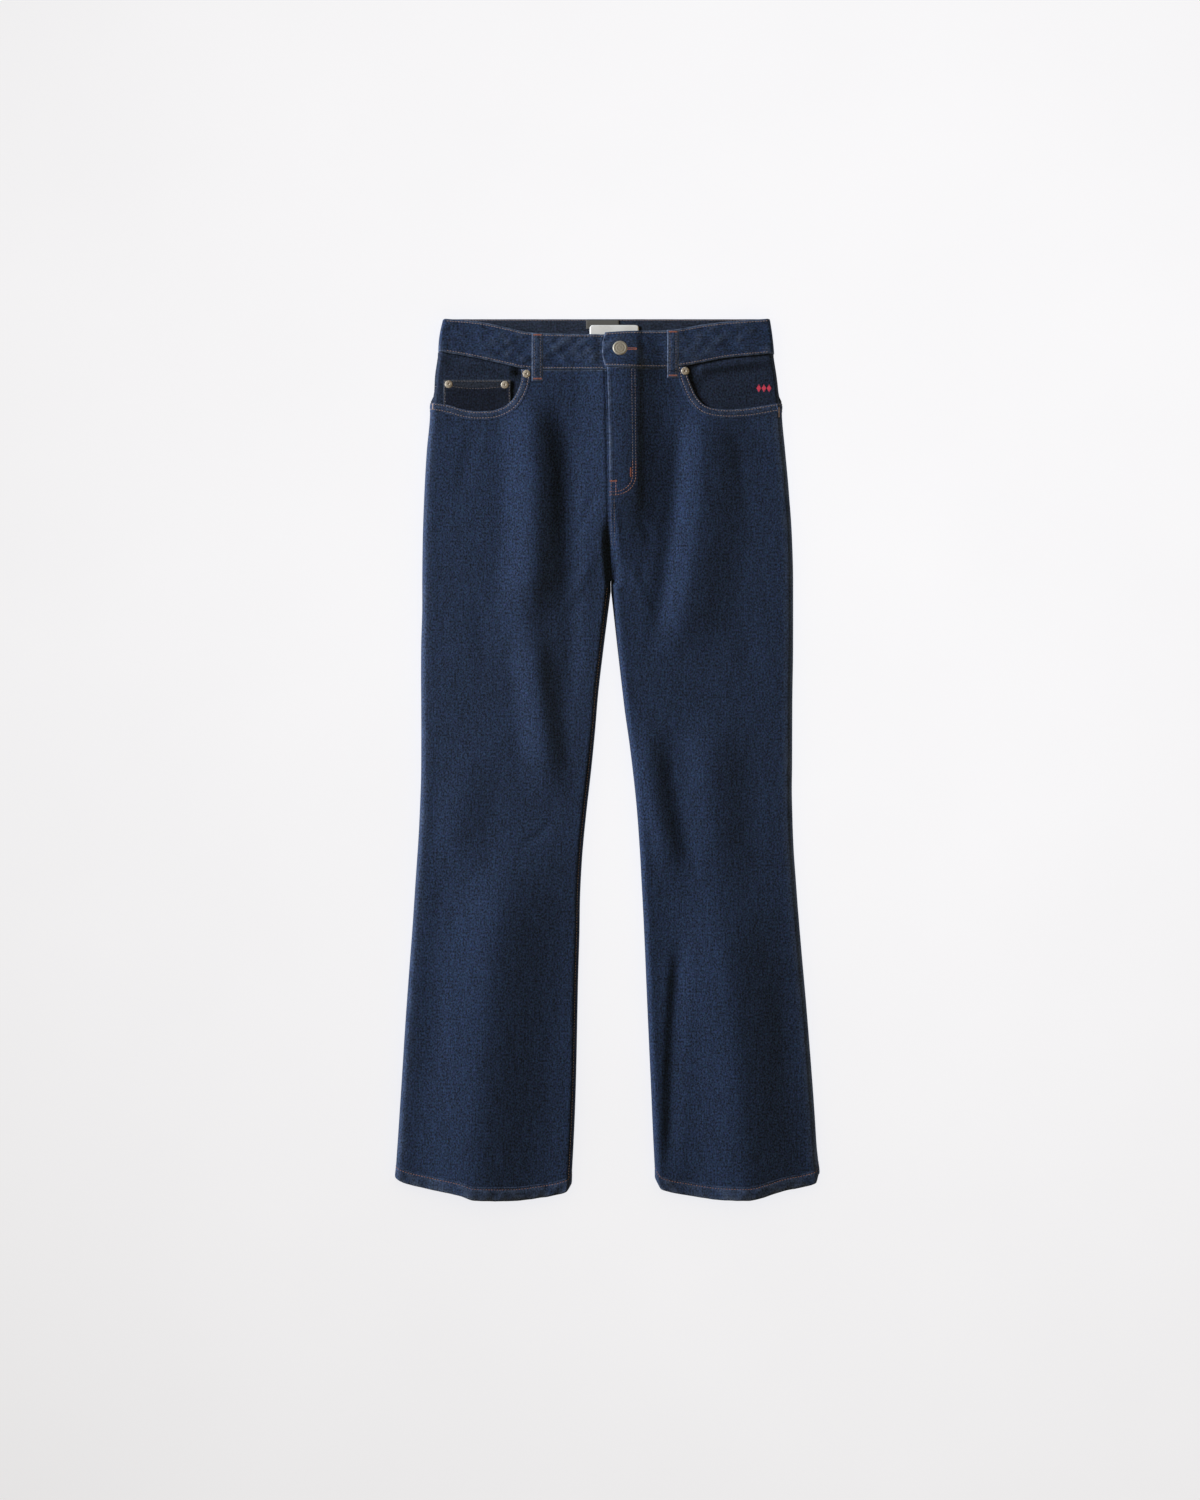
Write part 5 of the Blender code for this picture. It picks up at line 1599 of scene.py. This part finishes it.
BUTTON_PROFILE = (
    (0.0, 3.5), (2.2, 3.5), (2.6, 3.42), (2.9, 3.5), (4.9, 3.5), (5.2, 3.36), (5.5, 3.36), (5.8, 3.5),
    (6.6, 3.55), (7.2, 3.48), (7.8, 3.25), (8.15, 2.95), (8.3, 2.65), (8.25, 2.3), (7.95, 2.0), (7.0, 1.7),
    (5.0, 1.5), (4.5, 0.9), (4.4, 0.0), (0.0, 0.0),
)
RIVET_PROFILE = (
    (0.0, 0.3), (0.75, 0.3), (1.05, 0.5), (1.25, 1.15), (1.5, 1.3), (2.0, 1.22), (2.5, 1.08), (3.1, 1.05),
    (3.6, 1.0), (4.05, 0.85), (4.35, 0.6), (4.5, 0.25), (4.4, 0.0), (0.0, 0.0),
)


def make_trim():
    """Button and rivets. The button's face is plain."""
    surface = lambda x, down: band_surface("left", x, down)
    place, normal = placed(surface, BUTTON_X, BUTTON_DOWN, 0.1)
    turned("metal_button", BUTTON_PROFILE, 64, place, normal, [BUTTON_METAL], ["button"])
    for name, (side, x, down, level) in RIVETS.items():
        surface = lambda a, b, s=side: front_height(a, b) + lap_lift(s, a, b)
        place, normal = placed(surface, x, down, level + 0.35)
        turned("metal_" + name, RIVET_PROFILE, 40, place, normal, [RIVET_METAL], [name])


# ---------------------------------------------------------------- sewing

def sew_mouth(side):
    """Two rows along a pocket mouth."""
    line = mouth_line(side, 1.5)
    into = inward(line, SIDES[side])
    surface = lambda x, down: front_surface(side, x, down)
    start = through(WAIST_SEAM[side], line[:, 0]) + 2
    lines = []
    for distance, level in ((ROW_IN, 0.24), (SECOND_ROW_IN, 0.22)):
        row = line + into * distance
        inside = np.abs(row[:, 0]) < np.abs(seam(side + "_outer", row[:, 1])) - 0.8
        row = row[inside & (row[:, 1] > start)]
        lines.append(sewn_line(surface, row, level))
    sew("thread_mouth_" + side, lines, THREAD)


def sew_bands():
    """The rows along the top and bottom of the front waistband."""
    lines = []
    for side in SIDES:
        surface = lambda x, down, s=side: band_surface(s, x, down)
        if side == "right":
            x = spaced(-179, -5.0, 2)
        else:
            x = spaced(0.8, 181, 2)
        top = through(BAND_EDGE[side], x)
        bottom = through(WAIST_SEAM[side], x)
        lines.append(sewn_line(surface, pairs(x, top + BAND_ROW_IN), 0.12))
        lines.append(sewn_line(surface, pairs(x, bottom - BAND_ROW_IN), 0.12))
    x = spaced(-182, 182, 3)
    flat = lambda x, down: np.full(np.shape(x), SEAT_LIFT + BAND_CLOTH)
    lines.append(sewn_line(flat, pairs(x, 1.3), 0.15))
    sew("thread_waistband", lines, THREAD)


def fly_row(distance):
    """One of the two rows that outline the fly, from the waist seam round to its edge."""
    outer = FLY_ROWS[1]
    rx = distance - 3.0
    ry = FLY_END - FLY_CURVE_START - (outer - distance)
    straight = spaced(60, FLY_CURVE_START, 3)[:-1]
    edge = seam("left_inner", straight)
    upper = pairs(distance + edge * 0.4, straight)
    angles = np.linspace(0, math.pi / 2, 14)
    base = float(upper[-1, 0]) - rx
    curve = pairs(base + rx * np.cos(angles) ** 0.8, FLY_CURVE_START + ry * np.sin(angles))
    return np.vstack((upper, curve))


def sew_fly():
    """The fly's rows, the box at its foot and the rows down the centre seam."""
    surface = lambda x, down: front_surface("left", x, down)
    rows = [fly_row(distance) for distance in FLY_ROWS]
    dark = [sewn_line(surface, row[row[:, 1] < FLY_THREAD_CHANGES[1]], 0.06) for row in rows]
    sew("thread_fly_rows", dark, DARK_THREAD)
    lines = [sewn_line(surface, row[row[:, 1] >= FLY_THREAD_CHANGES[0]], 0.1) for row in rows]
    for x in FLY_BOX_X:
        down = spaced(184.5, 200, 2)
        lines.append(sewn_line(surface, pairs(x, down), 0.15))
    sew("thread_fly_curve", lines, CURVE_THREAD)
    down = spaced(206, CROTCH - 42, 3)
    lines = []
    for distance in (1.6, 5.0):
        x = seam("left_inner", down) + distance
        lines.append(sewn_line(surface, pairs(x, down), 0.12))
    sew("thread_centre_seam", lines, DARK_THREAD)


def sew_inseam():
    """The row beside the right leg's inner seam."""
    surface = lambda x, down: front_surface("right", x, down)
    down = spaced(CROTCH + 8, 980, 3)
    x = seam("right_inner", down) - 3.4
    sew("thread_inseam", [sewn_line(surface, pairs(x, down), 0.05)], THREAD)


def sew_hems():
    """The row round each leg end, on the front and on the back."""
    for side in SIDES:
        surface = lambda x, down, s=side: front_surface(s, x, down)
        outer = float(seam(side + "_outer", HEM_EDGE - TURN_UP))
        inner = float(seam(side + "_inner", HEM_EDGE - TURN_UP))
        low, high = sorted((outer, inner))
        x = spaced(low + 0.6, high - 0.6, 2)
        down = through(HEM[side], x) - TURN_UP
        under = lambda x, down: np.zeros(np.shape(x))
        points, normals, along, lengths = sewn_line(under, pairs(x, down), 0.1)
        back = (points, -normals, along, lengths)
        lines = [sewn_line(surface, pairs(x, down), 0.28), back]
        sew("thread_hem_" + side, lines, CURVE_THREAD)


def sew_coin_pocket():
    """Two bowed rows along the coin pocket's top and one down each side."""
    surface = lambda x, down: front_height(x, down) + COIN_LEVEL
    x = spaced(COIN_X[0] + 2, COIN_X[1] - 2, 2)
    bow = 1 - ((x - np.mean(COIN_X)) / (np.ptp(COIN_X) / 2)) ** 2
    lines = [sewn_line(surface, pairs(x, COIN_DOWN[0] + 1.6), 0.1),
             sewn_line(surface, pairs(x, COIN_DOWN[0] + 5.5 + 4.5 * bow), 0.1)]
    down = spaced(COIN_DOWN[0] + 2, 104, 2)
    for x_side in (COIN_X[0] + 1.6, COIN_X[1] - 1.6):
        lines.append(sewn_line(surface, pairs(x_side, down), 0.1))
    sew("thread_coin_pocket", lines, DARK_THREAD)


def sew_loops():
    """Rows along the front loops and tacks at their ends."""
    rows = []
    tacks = []
    for side in SIDES:
        height, start = loop_surface(side)
        down = spaced(start + 3.4, start + LOOP_LENGTH - 3.4, 2)
        for offset in (-3.4, 3.4):
            x = np.full_like(down, LOOP_X[side] + offset)
            rows.append(sewn_line(height, pairs(x, down), 0.05))
        x = spaced(LOOP_X[side] - 4.6, LOOP_X[side] + 4.6, 1)
        for place in (start + 2.2, start + LOOP_LENGTH - 2.6):
            tacks.append(sewn_line(height, pairs(x, place), 0.12, across=True))
    sew("thread_loops", rows, DARK_THREAD)
    return tacks


def sew_tacks(tacks):
    """Every bar tack on the front: loops, fly and pocket mouth ends."""
    fly = lambda x, down: front_surface("left", x, down)
    x = spaced(4.0, 11.6, 1)
    tacks.append(sewn_line(fly, pairs(x, 185.2), 0.35, across=True))
    down = spaced(170, 180.2, 1)
    tacks.append(sewn_line(fly, pairs(27.4, down), 0.3, across=True))
    sew("thread_tacks", tacks, TACK_THREAD, TACK)
    side_tacks = []
    for side, (x_end, first, last) in SIDE_TACKS.items():
        surface = lambda x, down, s=side: front_surface(s, x, down)
        down = spaced(first, last, 1)
        line = pairs(x_end, down)
        side_tacks.append(sewn_line(surface, line, 0.5, across=True))
    sew("thread_side_tacks", side_tacks, THREAD, TACK)


def sew_buttonhole():
    """A keyhole of satin stitches round the slit beside the button."""
    surface = lambda x, down: band_surface("left", x, down)
    radius = 0.8
    angles = np.linspace(-math.pi / 2, math.pi / 2, 9)
    end = 33.2
    upper = spaced(BUTTON_X - 2, end, 1.0)
    line = np.vstack((np.stack([upper, np.full_like(upper, BUTTON_DOWN - radius)], axis=1),
                      pairs(end + radius * np.cos(angles), BUTTON_DOWN + radius * np.sin(angles)),
                      np.stack([upper[::-1], np.full_like(upper, BUTTON_DOWN + radius)], axis=1)))
    kind = {"pitch": 0.45, "long": 1.25, "thick": 0.45}
    long = np.full(len(line), kind["long"])
    sew("thread_buttonhole", [sewn_line(surface, line, 0.2, across=True, long=long)], TACK_THREAD,
        kind)


def sew_mark():
    """A generic mark of three small satin-stitch lozenges on the left pocket's facing."""
    surface = lambda x, down: facing_surface("left", x, down)
    lines = []
    for centre in MARK_CENTRES:
        x = centre + MARK_WIDTH * np.linspace(-0.5, 0.5, 13)
        long = 1.4 + 8.8 * (1 - np.abs(x - centre) / (MARK_WIDTH / 2))
        line = pairs(x, MARK_DOWN)
        lines.append(sewn_line(surface, line, 0.15, across=True, long=long))
    sew("thread_mark", lines, MARK_THREAD, {"pitch": 0.38, "thick": 0.5})


def sew_back():
    """Rows on the back: yokes, centre seam, pockets and waistband."""
    lines = []

    def under(line, lift):
        line = np.asarray(line, float)
        z = back_lift(line[:, 1]) if lift == "panel" else np.full(len(line), float(lift))
        points = np.stack([line[:, 0], HALF_LENGTH - line[:, 1], z - 0.05], axis=1)
        along = np.gradient(points, axis=0)
        along /= np.linalg.norm(along, axis=1, keepdims=True)
        normals = np.tile((0.0, 0.0, -1.0), (len(line), 1))
        lines.append((points, normals, along, np.full(len(line), STITCH["long"])))

    for side in SIDES:
        x = SIDES[side] * spaced(6, 188, 4)
        for distance in (2.0, 8.0):
            under(pairs(x, yoke_seam(x) + distance), "panel")
        for inset in (2.0, 7.5):
            outline = np.array(pocket_outline(side, inset), float)
            corners = [spaced(0, 1, 0.05)[:, None] * (b - a) + a for a, b in zip(outline, outline[1:])]
            under(np.vstack([part[:-1] for part in corners] + [outline[-1:]]), 0.0)
        x = SIDES[side] * BACK_POCKET_CENTRE + spaced(-70, 70, 4)
        for distance in (2.0, 13.0):
            under(pairs(x, BACK_POCKET_TOP + distance), 0.0)
    down = spaced(BAND_HEIGHT + 4, CROTCH - 6, 4)
    for distance in (2.2, 8.0):
        under(np.stack([seam("left_inner", down) + distance, down], axis=1), "panel")
    x = spaced(-184, 184, 4)
    for place in (2.5, BAND_HEIGHT - 2.5):
        under(pairs(x, place), SEAT_LIFT)
    sew("thread_back", lines, THREAD)


# ---------------------------------------------------------------- camera, light and floor

PIXEL = 1.13
PHOTO_HEIGHT = 1500
AIM = (-7.3, 10.5)
CAMERA_HEIGHT = 3212.0
CLOTH_HEIGHT = 12.0
FILM = 36.0


def aim(thing, place, target):
    """Put a light or camera at a place, facing a target, both in metres."""
    thing.location = place
    thing.rotation_euler = (Vector(target) - Vector(place)).to_track_quat("-Z", "Y").to_euler()


def add_light(name, place, target, size, power, colour, receives, blockers=None):
    """A soft area light that reaches one collection. Where blockers is given, it alone casts shade."""
    data = bpy.data.lights.new(name, "AREA")
    data.shape = "RECTANGLE"
    data.size, data.size_y = size
    data.energy = power
    data.color = colour
    lamp = bpy.data.objects.new(name, data)
    bpy.context.scene.collection.objects.link(lamp)
    aim(lamp, place, target)
    lamp.light_linking.receiver_collection = receives
    if blockers is not None:
        lamp.light_linking.blocker_collection = blockers


def make_studio():
    """A pale floor, soft light from the wearer's right side, and the photograph's camera."""
    mesh = bpy.data.meshes.new("floor")
    reach = 8.0
    low = -0.0005
    mesh.from_pydata([(-reach, -reach, low), (reach, -reach, low), (reach, reach, low), (-reach, reach, low)],
                     [], [(0, 1, 2, 3)])
    floor = bpy.data.objects.new("floor", mesh)
    mesh.materials.append(make_plaster())
    STUDIO.objects.link(floor)

    camera = bpy.data.objects.new("camera", bpy.data.cameras.new("camera"))
    bpy.context.scene.collection.objects.link(camera)
    camera.data.sensor_width = FILM
    camera.data.lens = FILM * (CAMERA_HEIGHT - CLOTH_HEIGHT) / (PIXEL * PHOTO_HEIGHT)
    camera.location = (AIM[0] * MM, AIM[1] * MM, CAMERA_HEIGHT * MM)
    bpy.context.scene.camera = camera

    add_light("window", (-2.78, 1.15, 0.90), (0, 0.1, 0), (1.6, 0.9), 335, (0.96, 1.01, 1.05),
              JEANS, PANELS)
    add_light("far_wall", (2.8, 0.1, 0.12), (0.1, 0, 0), (2.6, 0.16), 40, (1.0, 0.9, 0.7), JEANS)
    add_light("ceiling", (0.05, 0.3, 3.3), (0.05, 0.2, 0), (3.0, 3.0), 24, (1.0, 0.68, 0.32), JEANS)
    add_light("room", (0.25, 0.45, 3.6), (0.15, 0.2, 0), (3.4, 3.4), 155, (0.985, 1.01, 1.09),
              STUDIO, STUDIO)
    world = bpy.data.worlds.new("pale room")
    world.use_nodes = True
    sky = world.node_tree.nodes["Background"]
    sky.inputs["Color"].default_value = (1.0, 0.80, 0.42, 1)
    sky.inputs["Strength"].default_value = 0.16
    bpy.context.scene.world = world
    bpy.context.scene.view_settings.view_transform = "Standard"


# ---------------------------------------------------------------- the garment

JEANS = bpy.data.collections.new("Bootcut jeans")
STUDIO = bpy.data.collections.new("Studio")
PANELS = bpy.data.collections.new("Cloth that shades cloth")
bpy.context.scene.collection.children.link(JEANS)
bpy.context.scene.collection.children.link(STUDIO)

DENIM_WEAVE = make_denim_weave()
AGED_METAL = make_aged_metal()
DENIM = make_denim("indigo_denim", (0.0062, 0.0128, 0.0336), (0.086, 0.108, 0.158), 0.06)
# Pocket facings: darker denim, partly unfaded cloth and partly painted shade of the pocket's recess. The coin
# pocket's denim is darker still, as painted shade.
POCKET_DENIM_UNFADED_AND_SHADED = make_denim("unfaded_denim_with_painted_shade", (0.0054, 0.0092, 0.0205), (0.065, 0.08, 0.11), 0.05)
COIN_DENIM_PAINTED_SHADE = make_denim("coin_pocket_denim_painted_shade", (0.0030, 0.0046, 0.0105), (0.06, 0.07, 0.085), 0.02)
DENIM_INSIDE = make_denim("denim_reverse", (0.0080, 0.0120, 0.0230), (0.06, 0.07, 0.10), 0.12)
THREAD = make_thread("topstitch_thread", (0.23, 0.170, 0.150), (0.13, 0.092, 0.082))
CURVE_THREAD = make_thread("fly_curve_thread", (0.22, 0.100, 0.062), (0.13, 0.062, 0.045))
DARK_THREAD = make_thread("faded_thread", (0.085, 0.066, 0.062), (0.050, 0.041, 0.043))
TACK_THREAD = make_thread("bar_tack_thread", (0.17, 0.048, 0.023), (0.11, 0.035, 0.02))
MARK_THREAD = make_thread("mark_thread", (0.34, 0.012, 0.036), (0.22, 0.009, 0.027))
BUTTON_METAL = make_metal("antique_button", (0.215, 0.20, 0.17), (0.115, 0.106, 0.09), 0.7, 0.5)
RIVET_METAL = make_metal("copper_rivet", (0.265, 0.238, 0.195), (0.085, 0.058, 0.042), 0.95, 0.4)
LABEL_SATIN = make_satin()
ZIP_TAPE = make_ribbed_cloth("zip_tape", (0.02, 0.02, 0.03), (0.05, 0.05, 0.07))
STRIP_CLOTH = make_ribbed_cloth("waist_strip", (0.030, 0.030, 0.030), (0.060, 0.060, 0.058))
STITCHES = make_stitch_tree()

make_studio()
make_back_band()
make_back_loops()
for one_side in SIDES:
    make_back(one_side)
    make_back_pocket(one_side)
    turned_edges = [make_mouth_edge(one_side)]
    if one_side == "left":
        turned_edges.append(make_fly_edge())
    make_front(one_side)
    make_facing(one_side)
    make_front_band(one_side)
    make_front_loop(one_side)
    make_hem(one_side)
    sew_mouth(one_side)
make_coin_pocket()
make_fly()
make_label()
make_waist_strip()
make_trim()
sew_bands()
sew_fly()
sew_inseam()
sew_hems()
sew_coin_pocket()
sew_tacks(sew_loops())
sew_buttonhole()
sew_mark()
sew_back()

bpy.context.view_layer.update()
